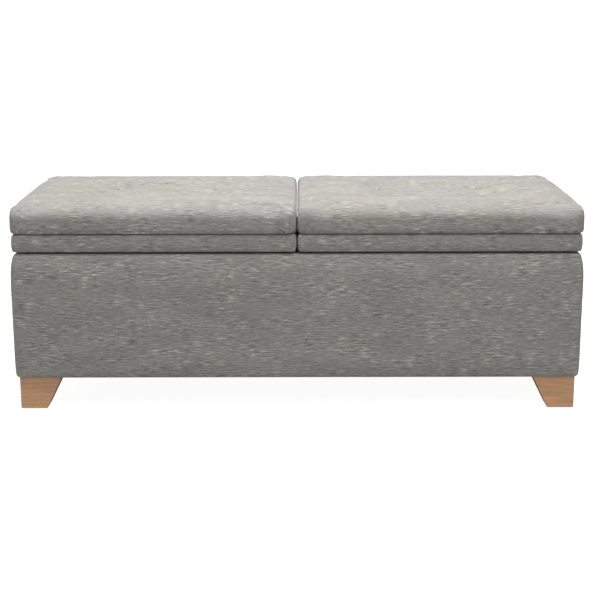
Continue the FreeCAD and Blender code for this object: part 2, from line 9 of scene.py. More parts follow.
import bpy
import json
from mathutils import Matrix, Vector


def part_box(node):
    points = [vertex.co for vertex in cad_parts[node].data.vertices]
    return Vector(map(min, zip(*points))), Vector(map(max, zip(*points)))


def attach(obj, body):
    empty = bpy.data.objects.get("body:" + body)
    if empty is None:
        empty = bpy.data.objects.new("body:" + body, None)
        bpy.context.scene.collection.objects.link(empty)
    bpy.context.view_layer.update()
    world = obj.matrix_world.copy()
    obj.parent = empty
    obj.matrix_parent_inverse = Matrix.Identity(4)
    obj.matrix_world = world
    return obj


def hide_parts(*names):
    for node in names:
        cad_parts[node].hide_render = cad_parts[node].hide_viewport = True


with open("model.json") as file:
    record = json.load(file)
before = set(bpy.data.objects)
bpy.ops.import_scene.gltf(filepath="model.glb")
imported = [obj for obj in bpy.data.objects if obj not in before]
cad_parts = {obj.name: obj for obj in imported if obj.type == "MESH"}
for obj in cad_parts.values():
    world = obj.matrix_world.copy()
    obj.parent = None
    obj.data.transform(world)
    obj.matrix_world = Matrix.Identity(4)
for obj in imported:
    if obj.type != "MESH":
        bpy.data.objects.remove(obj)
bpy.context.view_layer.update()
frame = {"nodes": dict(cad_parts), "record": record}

# %% Bring in Blender's modules
import json
import math

import bmesh
import bpy
import numpy as np
from mathutils import Vector, noise

scene = bpy.context.scene
MM = 0.001
SIDES = {"left": -1, "right": 1}
print(f"Blender {bpy.app.version_string}, numpy {np.__version__}")

# %% [markdown]
# ## The camera and the light
#
# The bench is seen from the front, from a little above, through a long lens, so that its
# sides hardly show. A furniture maker's catalogue lights such a piece from above with one
# wide soft box, which makes the seat much paler than the front, and fills the front from
# the camera's side. A single sun lamp would be simpler, but its hard shadows hide the cloth.

# %% Set up the camera
LENS_MM = 80.28
CAMERA_PLACE = Vector((0.0065, -3.165, 0.948))
CAMERA_DOWN, CAMERA_ROLL = math.radians(13.35), math.radians(0.11)

camera_data = bpy.data.cameras.new("camera")
camera_data.sensor_width = 36
camera_data.lens = LENS_MM
camera = bpy.data.objects.new("camera", camera_data)
camera.location = CAMERA_PLACE
camera.rotation_mode = "ZXY"
camera.rotation_euler = (math.pi / 2 - CAMERA_DOWN, 0, -CAMERA_ROLL)
scene.collection.objects.link(camera)
scene.camera = camera
scene.view_settings.view_transform = "Standard"
print(f"camera: {LENS_MM} mm lens, {-CAMERA_PLACE.y:.2f} m in front of the bench's middle")


# %% Hang the soft boxes
def soft_box(name, place, aim, size, power):
    """A rectangular area light at a place, turned towards a point."""
    data = bpy.data.lights.new(name, "AREA")
    data.shape = "RECTANGLE"
    data.size, data.size_y = size
    data.energy = power
    light = bpy.data.objects.new(name, data)
    light.location = place
    light.rotation_euler = (Vector(aim) - Vector(place)).to_track_quat("-Z", "Y").to_euler()
    scene.collection.objects.link(light)


soft_box("overhead", (0.0, -0.15, 2.7), (0, 0.0, 0.4), (3.2, 1.6), 88)
soft_box("key", (0.5, -2.1, 2.9), (0, 0, 0.3), (2.2, 1.4), 36)
soft_box("left_fill", (-3.2, -0.4, 1.3), (0, 0, 0.3), (1.4, 1.4), 8)
soft_box("back_fill", (0.8, 3.4, 1.6), (0, 0, 0.3), (1.6, 1.4), 12)

world = bpy.data.worlds.new("studio")
world.use_nodes = True
sky = world.node_tree.nodes["Background"]
sky.inputs["Color"].default_value = (1.0, 1.0, 1.0, 1)
sky.inputs["Strength"].default_value = 0.2
scene.world = world
print("lights: four soft boxes and a pale surround")


# %% [markdown]
# ## Small tools for shader nodes
#
# Every finish is procedural: noise and simple arithmetic stand for threads, grain and
# scratches, so it stays sharp from any distance. An effect that several finishes share is
# built once as a node group, with named inputs and outputs, and each material places it
# with its own values.


# %% Make nodes, links and groups with one line each
def add(tree, kind, **settings):
    """A node of that kind; settings named after an input set its value."""
    node = tree.nodes.new(kind)
    for key, value in settings.items():
        if hasattr(node, key):
            setattr(node, key, value)
        else:
            node.inputs[key.replace("_", " ").capitalize()].default_value = value
    return node


def feed(tree, target, source):
    """Puts a value into a socket: a link from another socket, or a plain number."""
    if isinstance(source, bpy.types.NodeSocket):
        tree.links.new(source, target)
    else:
        target.default_value = source


def calc(tree, operation, first, second=0.0, third=0.0):
    """The output of a Math node."""
    node = tree.nodes.new("ShaderNodeMath")
    node.operation = operation
    for socket, source in zip(node.inputs, (first, second, third)):
        feed(tree, socket, source)
    return node.outputs[0]


def stretch(tree, vector, scale, shift=(0, 0, 0)):
    """A vector multiplied by a scale, then shifted."""
    node = add(tree, "ShaderNodeVectorMath", operation="MULTIPLY_ADD")
    feed(tree, node.inputs[0], vector)
    node.inputs[1].default_value = scale
    node.inputs[2].default_value = shift
    return node.outputs[0]


def speckle(tree, vector, detail=2.0, roughness=0.5):
    """The value of a Noise Texture, from 0 to 1."""
    node = add(tree, "ShaderNodeTexNoise", Scale=1.0, Detail=detail, Roughness=roughness)
    feed(tree, node.inputs["Vector"], vector)
    return node.outputs["Fac"]


def ramp(tree, value, low, high, floor=0.0, ceiling=1.0):
    """A smooth step of a value, from floor at low to ceiling at high."""
    node = add(tree, "ShaderNodeMapRange", interpolation_type="SMOOTHSTEP")
    for socket, source in zip(node.inputs, (value, low, high, floor, ceiling)):
        feed(tree, socket, source)
    return node.outputs[0]


def blend(tree, share, first, second):
    """A colour between two colours."""
    node = add(tree, "ShaderNodeMix", data_type="RGBA")
    feed(tree, node.inputs[0], share)
    feed(tree, node.inputs[6], first)
    feed(tree, node.inputs[7], second)
    return node.outputs[2]


def tint(tree, colour, strength):
    """A colour made lighter or darker by a factor."""
    node = add(tree, "ShaderNodeVectorMath", operation="SCALE")
    feed(tree, node.inputs[0], colour[:3] if isinstance(colour, tuple) else colour)
    feed(tree, node.inputs["Scale"], strength)
    return node.outputs[0]


KINDS = {"value": "NodeSocketFloat", "vector": "NodeSocketVector", "colour": "NodeSocketColor"}


def new_group(name, inputs, outputs):
    """A node group, its input node and its output node. Sockets are {name: kind}."""
    group = bpy.data.node_groups.new(name, "ShaderNodeTree")
    for socket, kind in inputs.items():
        group.interface.new_socket(socket, in_out="INPUT", socket_type=KINDS[kind])
    for socket, kind in outputs.items():
        group.interface.new_socket(socket, in_out="OUTPUT", socket_type=KINDS[kind])
    return group, group.nodes.new("NodeGroupInput"), group.nodes.new("NodeGroupOutput")


print("node tools ready")


# %% [markdown]
# ## The weave
#
# The cover is a heathered grey upholstery cloth. Its weft is spun from uneven yarn, so
# short pale and dark streaks, up to about 25 mm long and 3 mm high, run along the weft all
# over it. Close up there is a plain over-and-under weave. A flat texture picture would
# blur close up and repeat, so noise draws it: noise stretched far along the weft gives
# streaks. The group works on flat cloth coordinates, in metres: U along the weft and V
# across it.


# %% Build the weave group
# How many waves of noise there are per metre, along the weft and across it.
YARN_WAVES, FINE_WAVES, END_WAVES = (40, 340, 0), (85, 900, 0), (900, 420, 0)
DRIFT_WAVES, PATCH_WAVES = (14, 14, 0), (7, 22, 0)
LIVELY_WAVES, WARMTH_WAVES = (13, 24, 0), (5, 9, 0)
DRIFT = 6 * MM
COOL_CAST, WARM_CAST = (0.997, 1.0, 1.004, 1), (1.014, 1.0, 0.984, 1)


def build_weave():
    group, start, end = new_group(
        "Heathered weave",
        {
            "Cloth": "vector", "Ground": "colour", "Slub": "colour", "Shade": "colour",
            "Pitch": "value",
        },
        {"Colour": "colour", "Height": "value"},
    )
    cloth = start.outputs["Cloth"]
    wander = speckle(group, stretch(group, cloth, DRIFT_WAVES), detail=1)
    bent = add(group, "ShaderNodeVectorMath", operation="ADD")
    feed(group, bent.inputs[0], cloth)
    drift = add(group, "ShaderNodeCombineXYZ")
    feed(group, drift.inputs["Y"], calc(group, "MULTIPLY", wander, DRIFT))
    feed(group, bent.inputs[1], drift.outputs[0])
    yarn = speckle(group, stretch(group, bent.outputs[0], YARN_WAVES), detail=2.5, roughness=0.6)
    fine = speckle(group, stretch(group, bent.outputs[0], FINE_WAVES, (3, 7, 0)), detail=2)
    patch = speckle(group, stretch(group, cloth, PATCH_WAVES, (11, 5, 0)), detail=3)
    lively = speckle(group, stretch(group, cloth, LIVELY_WAVES, (2, 9, 0)), detail=1)
    lively = ramp(group, lively, 0.36, 0.62, 0.4, 1.25)
    warmth = speckle(group, stretch(group, cloth, WARMTH_WAVES, (8, 1, 0)), detail=2)
    warmth = ramp(group, warmth, 0.35, 0.65)
    ends = speckle(group, stretch(group, cloth, END_WAVES, (1, 2, 0)), detail=1)

    pale = calc(group, "MULTIPLY", ramp(group, yarn, 0.5, 0.76), lively)
    dark = calc(group, "MULTIPLY", ramp(group, yarn, 0.5, 0.22), lively)
    colour = blend(group, pale, start.outputs["Ground"], start.outputs["Slub"])
    colour = blend(group, dark, colour, start.outputs["Shade"])
    fleck = ramp(group, fine, 0.26, 0.74, 0.8, 1.22)
    mottle = ramp(group, patch, 0.3, 0.7, 0.92, 1.08)
    colour = tint(group, colour, calc(group, "MULTIPLY", fleck, mottle))
    colour = tint(group, colour, ramp(group, ends, 0.3, 0.7, 0.9, 1.1))
    cast = add(group, "ShaderNodeVectorMath", operation="MULTIPLY")
    feed(group, cast.inputs[0], colour)
    feed(group, cast.inputs[1], blend(group, warmth, COOL_CAST, WARM_CAST))
    feed(group, end.inputs["Colour"], cast.outputs[0])

    flat = add(group, "ShaderNodeSeparateXYZ")
    feed(group, flat.inputs[0], bent.outputs[0])
    across = calc(group, "DIVIDE", flat.outputs["X"], start.outputs["Pitch"])
    along = calc(group, "DIVIDE", flat.outputs["Y"], start.outputs["Pitch"])
    over_and_under = add(group, "ShaderNodeTexChecker", Scale=1.0)
    squares = add(group, "ShaderNodeCombineXYZ", Z=0.5)
    feed(group, squares.inputs["X"], across)
    feed(group, squares.inputs["Y"], along)
    feed(group, over_and_under.inputs["Vector"], squares.outputs[0])
    warp = calc(group, "ABSOLUTE", calc(group, "SINE", calc(group, "MULTIPLY", across, math.pi)))
    weft = calc(group, "ABSOLUTE", calc(group, "SINE", calc(group, "MULTIPLY", along, math.pi)))
    which = over_and_under.outputs["Fac"]
    thread = calc(group, "MULTIPLY_ADD", which, calc(group, "SUBTRACT", warp, weft), weft)
    relief = calc(group, "MULTIPLY_ADD", yarn, 2.4, calc(group, "MULTIPLY", thread, 0.4))
    feed(group, end.inputs["Height"], calc(group, "MULTIPLY_ADD", fine, 0.45, relief))
    return group


weave = build_weave()
print(f"group '{weave.name}': {len(weave.nodes)} nodes")

# %% [markdown]
# ## Bonded cloth, wood, and the small marks of use
#
# The linings and the dust cover are bonded cloth: fibres pressed flat, not woven, with a
# grid of tiny weld points. Wood is a stack of curved growth layers, cut through by long
# fibres and short pores. Lint settles on dark cloth and rubber, and metal gets fine
# scratches. Several finishes need each of these, so each is a group.


# %% Build the bonded cloth group
def build_bonded():
    group, start, end = new_group(
        "Bonded cloth",
        {"Vector": "vector", "Fibre": "colour", "Weld": "colour", "Spacing": "value"},
        {"Colour": "colour", "Height": "value"},
    )
    place = start.outputs["Vector"]
    scaled = add(group, "ShaderNodeVectorMath", operation="SCALE")
    feed(group, scaled.inputs[0], place)
    feed(group, scaled.inputs["Scale"], calc(group, "DIVIDE", 1.0, start.outputs["Spacing"]))
    welds = add(group, "ShaderNodeTexVoronoi", Randomness=0.25, Scale=1.0)
    feed(group, welds.inputs["Vector"], scaled.outputs[0])
    weld = ramp(group, welds.outputs["Distance"], 0.32, 0.22)
    fibres = speckle(group, stretch(group, place, (900, 700, 800)), detail=4, roughness=0.7)
    colour = tint(group, start.outputs["Fibre"], ramp(group, fibres, 0.3, 0.7, 0.6, 1.5))
    share = calc(group, "MULTIPLY", weld, 0.6)
    feed(group, end.inputs["Colour"], blend(group, share, colour, start.outputs["Weld"]))
    feed(group, end.inputs["Height"], calc(group, "MULTIPLY_ADD", weld, -0.8, fibres))
    return group


bonded = build_bonded()
print(f"group '{bonded.name}': {len(bonded.nodes)} nodes")


# %% Build the wood group
def build_grain():
    group, start, end = new_group(
        "Wood grain",
        {
            "Vector": "vector", "Early": "colour", "Late": "colour", "Ring": "value",
            "Contrast": "value",
        },
        {"Colour": "colour", "Height": "value", "Pores": "value"},
    )
    place = start.outputs["Vector"]
    swirl = speckle(group, stretch(group, place, (9, 9, 2.2)), detail=2)
    flat = add(group, "ShaderNodeSeparateXYZ")
    feed(group, flat.inputs[0], place)
    depth = calc(group, "MULTIPLY_ADD", flat.outputs["Y"], 0.55, flat.outputs["X"])
    depth = calc(group, "MULTIPLY_ADD", swirl, 0.055, depth)
    layer = calc(group, "FRACT", calc(group, "DIVIDE", depth, start.outputs["Ring"]))
    late = calc(group, "MULTIPLY", ramp(group, layer, 0.35, 0.92), ramp(group, layer, 1.0, 0.93))
    fibres = speckle(group, stretch(group, place, (900, 900, 28)), detail=3, roughness=0.6)
    pores = ramp(group, speckle(group, stretch(group, place, (1500, 1500, 70)), detail=1), 0.66, 0.74)
    share = calc(group, "MULTIPLY", late, start.outputs["Contrast"])
    colour = blend(group, share, start.outputs["Early"], start.outputs["Late"])
    colour = tint(group, colour, ramp(group, fibres, 0.25, 0.75, 0.84, 1.12))
    cloud = speckle(group, stretch(group, place, (22, 22, 6)), detail=2)
    colour = tint(group, colour, ramp(group, cloud, 0.3, 0.7, 0.88, 1.1))
    colour = tint(group, colour, ramp(group, pores, 0.0, 1.0, 1.0, 0.72))
    feed(group, end.inputs["Colour"], colour)
    feed(group, end.inputs["Height"], calc(group, "MULTIPLY_ADD", pores, -0.8, fibres))
    feed(group, end.inputs["Pores"], pores)
    return group


grain = build_grain()
print(f"group '{grain.name}': {len(grain.nodes)} nodes")


# %% Build the group for lint, scratches and smudges
def build_marks():
    group, start, end = new_group(
        "Marks of use",
        {"Vector": "vector", "Lint": "value", "Scratches": "value"},
        {"Specks": "value", "Lines": "value", "Smudge": "value"},
    )
    place = start.outputs["Vector"]
    specks = speckle(group, stretch(group, place, (1100, 1100, 1100)), detail=1)
    specks = ramp(group, specks, 0.72, 0.76)
    lines = speckle(group, stretch(group, place, (90, 2600, 2600)), detail=1)
    lines = ramp(group, lines, 0.62, 0.7)
    smudge = speckle(group, stretch(group, place, (35, 35, 35)), detail=3)
    feed(group, end.inputs["Specks"], calc(group, "MULTIPLY", specks, start.outputs["Lint"]))
    feed(group, end.inputs["Lines"], calc(group, "MULTIPLY", lines, start.outputs["Scratches"]))
    feed(group, end.inputs["Smudge"], smudge)
    return group


marks = build_marks()
print("groups:", ", ".join(group.name for group in bpy.data.node_groups))

# %% [markdown]
# ## The finishes
#
# Each finish is one Principled BSDF fed by groups. Cloth is rough, with a little sheen from
# its loose fibres, and its bump comes from the same yarn that colours it. The legs are
# pale hardwood under a thin satin lacquer, and the hidden woods are bare. The fittings are
# zinc-plated steel. CAD nodes keep their shape and only change their material, so the loop
# at the end hands every one of them the finish of its slot.


# %% Start a material
def new_material(name, **shader_values):
    """A material, its node tree and its Principled BSDF."""
    material = bpy.data.materials.new(name)
    material.use_nodes = True
    tree = material.node_tree
    shader = tree.nodes["Principled BSDF"]
    for key, value in shader_values.items():
        shader.inputs[key.replace("_", " ").title().replace("Ior", "IOR")].default_value = value
    return material, tree, shader


def place_group(tree, group, vector, **values):
    """A group's node in a material, with its vector linked and its other inputs set."""
    node = tree.nodes.new("ShaderNodeGroup")
    node.node_tree = group
    tree.links.new(vector, node.inputs[0])
    for key, value in values.items():
        node.inputs[key].default_value = value
    return node


def bump(tree, shader, height, depth, strength=1.0):
    """Feeds the shader's normal from a height, where 1 is that depth in metres."""
    node = add(tree, "ShaderNodeBump", Strength=strength, Distance=depth)
    feed(tree, node.inputs["Height"], height)
    tree.links.new(node.outputs["Normal"], shader.inputs["Normal"])


def object_place(tree):
    """The place on the piece, in metres in the frame's axes."""
    return tree.nodes.new("ShaderNodeTexCoord").outputs["Object"]


print("material tools ready")


# %% Upholstery, its thread, and the linings
def make_upholstery():
    material, tree, shader = new_material(
        "heathered_upholstery", roughness=0.92, specular_ior_level=0.25,
        sheen_weight=0.22, sheen_roughness=0.5,
    )
    cloth = add(tree, "ShaderNodeUVMap", uv_map="cloth").outputs["UV"]
    woven = place_group(
        tree, weave, cloth, Pitch=1.7 * MM, Ground=(0.356, 0.345, 0.324, 1),
        Slub=(0.7, 0.672, 0.608, 1), Shade=(0.155, 0.149, 0.14, 1),
    )
    tree.links.new(woven.outputs["Colour"], shader.inputs["Base Color"])
    bump(tree, shader, woven.outputs["Height"], 0.8 * MM)
    return material


def make_bonded(name, fibre, weld, spacing):
    material, tree, shader = new_material(
        name, roughness=0.95, specular_ior_level=0.2, sheen_weight=0.1
    )
    place = object_place(tree)
    cloth = place_group(tree, bonded, place, Fibre=fibre, Weld=weld, Spacing=spacing)
    used = place_group(tree, marks, place, Lint=0.5, Scratches=0.0)
    lint = (0.3, 0.29, 0.27, 1)
    colour = blend(tree, used.outputs["Specks"], cloth.outputs["Colour"], lint)
    tree.links.new(colour, shader.inputs["Base Color"])
    bump(tree, shader, cloth.outputs["Height"], 0.25 * MM)
    return material


FINISH = {
    "upholstery": make_upholstery(),
    "lining_cloth": make_bonded(
        "bin_lining_cloth", (0.06, 0.06, 0.066, 1), (0.03, 0.03, 0.034, 1), 2.6 * MM
    ),
    "dust_cloth": make_bonded(
        "black_dust_cloth", (0.022, 0.022, 0.024, 1), (0.01, 0.01, 0.011, 1), 1.8 * MM
    ),
}
print("cloth finishes:", ", ".join(FINISH))


# %% Woods
def make_wood(name, early, late, ring, contrast, roughness, coat=0.0):
    """Wood whose grain runs along X. ring is how far apart its growth layers are."""
    material, tree, shader = new_material(name, coat_weight=coat, coat_roughness=0.3)
    turned = add(tree, "ShaderNodeMapping")
    tree.links.new(object_place(tree), turned.inputs["Vector"])
    turned.inputs["Rotation"].default_value = (0, math.pi / 2, 0)
    wood = place_group(
        tree, grain, turned.outputs[0], Early=early, Late=late, Ring=ring, Contrast=contrast
    )
    used = place_group(tree, marks, turned.outputs[0], Lint=0.0, Scratches=0.3)
    tree.links.new(wood.outputs["Colour"], shader.inputs["Base Color"])
    gloss = ramp(tree, used.outputs["Smudge"], 0.3, 0.7, roughness - 0.06, roughness + 0.08)
    tree.links.new(gloss, shader.inputs["Roughness"])
    bump(tree, shader, wood.outputs["Height"], 0.12 * MM, 0.6)
    return material


FINISH["leg_wood"] = make_wood(
    "lacquered_leg_wood", (0.79, 0.455, 0.25, 1), (0.62, 0.31, 0.15, 1),
    ring=10 * MM, contrast=0.4, roughness=0.42, coat=0.15,
)
FINISH["plywood"] = make_wood(
    "poplar_plywood", (0.66, 0.5, 0.32, 1), (0.5, 0.34, 0.19, 1),
    ring=15 * MM, contrast=0.35, roughness=0.7,
)
FINISH["pine"] = make_wood(
    "sawn_pine", (0.74, 0.55, 0.33, 1), (0.5, 0.29, 0.13, 1),
    ring=7 * MM, contrast=0.6, roughness=0.7,
)
print("wood finishes ready")


# %% Steel, rubber, plastic, foam and twine
def make_steel():
    material, tree, shader = new_material("zinc_plated_steel", metallic=1.0)
    place = object_place(tree)
    used = place_group(tree, marks, place, Lint=0.0, Scratches=0.7)
    spangle = speckle(tree, stretch(tree, place, (400, 400, 400)), detail=2)
    colour = blend(tree, spangle, (0.6, 0.6, 0.57, 1), (0.7, 0.69, 0.64, 1))
    dull = ramp(tree, used.outputs["Smudge"], 0.45, 0.75, 0, 0.35)
    colour = blend(tree, dull, colour, (0.52, 0.5, 0.44, 1))
    tree.links.new(colour, shader.inputs["Base Color"])
    gloss = ramp(tree, spangle, 0.3, 0.7, 0.26, 0.4)
    gloss = calc(tree, "MULTIPLY_ADD", used.outputs["Lines"], 0.15, gloss)
    tree.links.new(gloss, shader.inputs["Roughness"])
    bump(tree, shader, calc(tree, "MULTIPLY_ADD", used.outputs["Lines"], -1.0, spangle), 0.03 * MM)
    return material


def make_moulded(name, colour, roughness, grit, depth):
    """Rubber, plastic, foam or twine: one mottled colour on a pebbled surface. grit is the
    number of pebbles per metre, and depth is how deep they are."""
    material, tree, shader = new_material(name, specular_ior_level=0.4)
    place = object_place(tree)
    pebbles = speckle(tree, stretch(tree, place, (grit,) * 3), detail=3, roughness=0.6)
    used = place_group(tree, marks, place, Lint=0.35, Scratches=0.3)
    shaded = tint(tree, colour, ramp(tree, pebbles, 0.3, 0.7, 0.8, 1.15))
    shaded = blend(tree, calc(tree, "MULTIPLY", used.outputs["Specks"], 0.4), shaded, (0.4, 0.38, 0.35, 1))
    tree.links.new(shaded, shader.inputs["Base Color"])
    gloss = ramp(tree, used.outputs["Smudge"], 0.3, 0.7, roughness - 0.07, roughness + 0.07)
    tree.links.new(gloss, shader.inputs["Roughness"])
    bump(tree, shader, pebbles, depth)
    return material


FINISH["zinc_steel"] = make_steel()
FINISH["bumper_rubber"] = make_moulded(
    "black_rubber", (0.035, 0.035, 0.036, 1), roughness=0.75, grit=2500, depth=0.08 * MM
)
FINISH["glide_plastic"] = make_moulded(
    "brown_glide_plastic", (0.17, 0.13, 0.1, 1), roughness=0.5, grit=1800, depth=0.05 * MM
)
FINISH["foam"] = make_moulded(
    "cut_foam", (0.82, 0.77, 0.6, 1), roughness=0.9, grit=1300, depth=0.6 * MM
)
FINISH["tuft_twine"] = make_moulded(
    "waxed_twine", (0.6, 0.55, 0.45, 1), roughness=0.8, grit=3200, depth=0.2 * MM
)

for part in frame["record"]["subparts"]:
    for slot in frame["nodes"][part["node"]].material_slots:
        slot.material = FINISH[part["material_slot"]]

# %% [markdown]
# ## Small tools for cloth shapes
#
# Everything upholstered here has a rounded rectangular plan. So a cover can be drawn as a
# profile, the outline that a saw cut would show, carried round a rounded rectangle. A ring
# is one level of it: the rectangle's limits, its corner radius and its height. Joining
# ring to ring gives an even mesh of four-sided faces, and the way round and the way along
# the profile are also the cloth's own coordinates for the weave.


# %% Draw one ring
def ring(x, y, radius, steps):
    """Points round a rounded rectangle, anticlockwise from the back right, as an (n, 2) array.
    steps is (along X, along Y, round each corner)."""
    radius = max(radius, 0.2 * MM)
    centres = [(x[1] - radius, y[1] - radius), (x[0] + radius, y[1] - radius)]
    centres += [(x[0] + radius, y[0] + radius), (x[1] - radius, y[0] + radius)]
    points = []
    for corner, (cx, cy) in enumerate(centres):
        for step in range(steps[2] + 1):
            angle = math.pi / 2 * (corner + step / steps[2])
            points.append((cx + radius * math.cos(angle), cy + radius * math.sin(angle)))
        first = points[-1]
        nx, ny = centres[(corner + 1) % 4]
        turn = math.pi / 2 * (corner + 1)
        last = (nx + radius * math.cos(turn), ny + radius * math.sin(turn))
        count = steps[corner % 2]
        for step in range(1, count):
            share = step / count
            points.append(tuple(a + share * (b - a) for a, b in zip(first, last)))
    return np.array(points)


def inset(x, y, amount):
    """A rectangle's limits, moved inwards on all four sides."""
    return (x[0] + amount, x[1] - amount), (y[0] + amount, y[1] - amount)


def arc(start, end, steps, first_number):
    """Points of a quarter arc between two (inset, z) points, without the first point.
    first_number is true where the first number changes fastest at the start."""
    points = []
    for step in range(1, steps + 1):
        angle = math.pi / 2 * step / steps
        soft, hard = 1 - math.cos(angle), math.sin(angle)
        shares = (hard, soft) if first_number else (soft, hard)
        points.append(tuple(a + share * (b - a) for a, b, share in zip(start, end, shares)))
    return points


def straight(start, end, steps):
    """Points of a straight run between two points, without the first point."""
    return [
        tuple(a + step / steps * (b - a) for a, b in zip(start, end))
        for step in range(1, steps + 1)
    ]


def stack(levels, steps):
    """Rings of (n, 3) points for levels, each given as (limits, corner radius, height)."""
    rings = []
    for (x, y), radius, z in levels:
        flat = ring(x, y, radius, steps)
        rings.append(np.column_stack([flat, np.full(len(flat), z)]))
    return rings


print("profile tools ready")


# %% Join rings into a mesh
def places_of(mesh):
    """Where a mesh's vertices are, as an (n, 3) array."""
    return np.array([vertex.co for vertex in mesh.vertices])


def put_places(mesh, points):
    """Moves a mesh's vertices to an (n, 3) array of places."""
    mesh.vertices.foreach_set("co", points.astype(np.float32).ravel())


def lay_cloth(mesh, coordinates):
    """Writes cloth coordinates, one pair per vertex of each face, as the UV map 'cloth'."""
    for old in list(mesh.uv_layers):
        mesh.uv_layers.remove(old)
    layer = mesh.uv_layers.new(name="cloth")
    layer.data.foreach_set("uv", np.asarray(coordinates, np.float32).ravel())


def new_piece(name, mesh, body, slot):
    """An object for a mesh, smooth, with its finish, riding on a body."""
    piece = bpy.data.objects.new(name, mesh)
    scene.collection.objects.link(piece)
    mesh.shade_smooth()
    mesh.materials.clear()
    mesh.materials.append(FINISH[slot])
    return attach(piece, body)


def join_rings(name, rings, closed):
    """A mesh from rings of (n, 3) points. Closed joins the last to the first, as in a tube."""
    rings = np.array(rings)
    levels, count = rings.shape[:2]
    ahead = np.linalg.norm(np.diff(rings, axis=1, append=rings[:, :1]), axis=2).max(axis=0)
    around = np.concatenate([[0], np.cumsum(ahead)])
    beside = np.linalg.norm(np.diff(rings, axis=0, append=rings[:1]), axis=2).mean(axis=1)
    along = np.concatenate([[0], np.cumsum(beside)])
    faces, coordinates = [], []
    for level in range(levels if closed else levels - 1):
        here, above = level * count, (level + 1) % levels * count
        for i in range(count):
            j = (i + 1) % count
            faces.append((here + i, here + j, above + j, above + i))
            u, v = (around[i], around[i + 1]), (along[level], along[level + 1])
            coordinates += [(u[0], v[0]), (u[1], v[0]), (u[1], v[1]), (u[0], v[1])]
    mesh = bpy.data.meshes.new(name)
    mesh.from_pydata(rings.reshape(-1, 3).tolist(), [], faces)
    lay_cloth(mesh, coordinates)
    return mesh


def ripple(point, size, seed):
    """Smooth random height from -1 to 1 at a point, with waves about that size."""
    return noise.noise(Vector(point) / size + Vector((seed, seed, seed)))


def close_openings(shape, openings):
    """Fills a bmesh's openings, given by their edges, and turns all its faces outwards."""
    bmesh.ops.holes_fill(shape, edges=openings)
    bmesh.ops.recalc_face_normals(shape, faces=shape.faces)


def settle(draft, name):
    """The mesh of a draft object with its modifiers applied. The draft goes."""
    mesh = bpy.data.meshes.new_from_object(
        draft.evaluated_get(bpy.context.evaluated_depsgraph_get())
    )
    bpy.data.objects.remove(draft)
    mesh.name = name
    return mesh


print("cloth tools ready")

# %% [markdown]
# ## The box
#
# Foam sheet 12 mm thick is glued to the box's walls, and one long strip of cloth is pulled
# round them. It rolls over the rim, turns down inside it, and is stapled underneath. The
# foam bellies each wall out a little between its tight edges, and the cloth ripples
# slightly where the staples under the base pull it. Cloth simulation suits loose cushions
# better than a tight wall like this one, where a formula keeps the edges straight. So the
# whole upholstered wall is drawn as one closed profile: up the inside of the hem, over the
# rim, down the outside, under the base, and back up along the plywood.

# %% Read the box's levels
box_low, box_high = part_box("base_cover")
panel_low, panel_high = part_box("front_panel")
rim_z = box_high.z
hem_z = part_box("centre_divider")[1].z
inner_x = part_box("right_side_panel")[0].x
inner_y = panel_high.y
rail_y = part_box("hinge_rail")[0].y
COVER = rim_z - panel_high.z
TOP_ROUND, BOTTOM_ROUND, CORNER_ROUND = 12.2 * MM, 10.2 * MM, 15.2 * MM
HEM_ROUND = 3.5 * MM
TURN_UNDER, HANG = 30 * MM, 1.3 * MM

outside = ((box_low.x, box_high.x), (box_low.y, box_high.y))
mouth = ((-inner_x + COVER, inner_x - COVER), (inner_y + COVER, rail_y - COVER))
panel_inside = ((-inner_x, inner_x), (inner_y, rail_y))
print(f"box: {box_high.x * 2:.3f} by {box_high.y * 2:.3f}, rim at {rim_z:.4f}")


# %% Draw the box's profile
BOX_STEPS = (118, 46, 7)
HEM_CORNER, UNDER_CORNER = 1 * MM, 2 * MM
RIM_CROWN = 0.8 * MM
UNDER_ROUND = 8 * MM


def between(first, second, share):
    """A rectangle part of the way from one to another."""
    return tuple(
        tuple(a + share * (b - a) for a, b in zip(one, two)) for one, two in zip(first, second)
    )


def box_rings():
    """Rings round the upholstered wall, and which of them lie on its outer face."""
    levels = []
    low = box_low.z
    for z in np.linspace(hem_z, rim_z - HEM_ROUND, 4):
        levels.append((mouth, HEM_CORNER, z))
    for out, z in arc((0, rim_z - HEM_ROUND), (HEM_ROUND, rim_z), 3, False):
        levels.append((inset(*mouth, -out), HEM_CORNER + out, z))
    flat_start = inset(*mouth, -HEM_ROUND)
    flat_end = inset(*outside, TOP_ROUND)
    for share in (0.25, 0.5, 0.75, 1.0):
        crown = RIM_CROWN * math.sin(math.pi * share)
        limits = between(flat_start, flat_end, share)
        levels.append((limits, 3 * MM + share * 2 * MM, rim_z + crown))
    for depth, z in arc((TOP_ROUND, rim_z), (0, rim_z - TOP_ROUND), 6, True):
        levels.append((inset(*outside, depth), CORNER_ROUND - depth, z))
    wall = (rim_z - TOP_ROUND, low + BOTTOM_ROUND)
    for z in np.linspace(*wall, 28)[1:]:
        levels.append((outside, CORNER_ROUND, z))
    for depth, z in arc((0, wall[1]), (UNDER_ROUND, low - HANG), 6, False):
        levels.append((inset(*outside, depth), CORNER_ROUND - depth, z))
    for depth in (12 * MM, 17 * MM, 23 * MM, TURN_UNDER):
        levels.append((inset(*outside, depth), UNDER_CORNER, low))
    ply_outside = inset(*outside, box_high.y + panel_low.y)
    levels.append((inset(*outside, TURN_UNDER), UNDER_CORNER, panel_low.z))
    for limits, z in (
        (ply_outside, panel_low.z), (ply_outside, panel_high.z),
        (panel_inside, panel_high.z), (panel_inside, hem_z),
    ):
        levels.append((limits, HEM_CORNER, z))
    return levels, wall


print(f"box profile: {len(box_rings()[0])} levels")

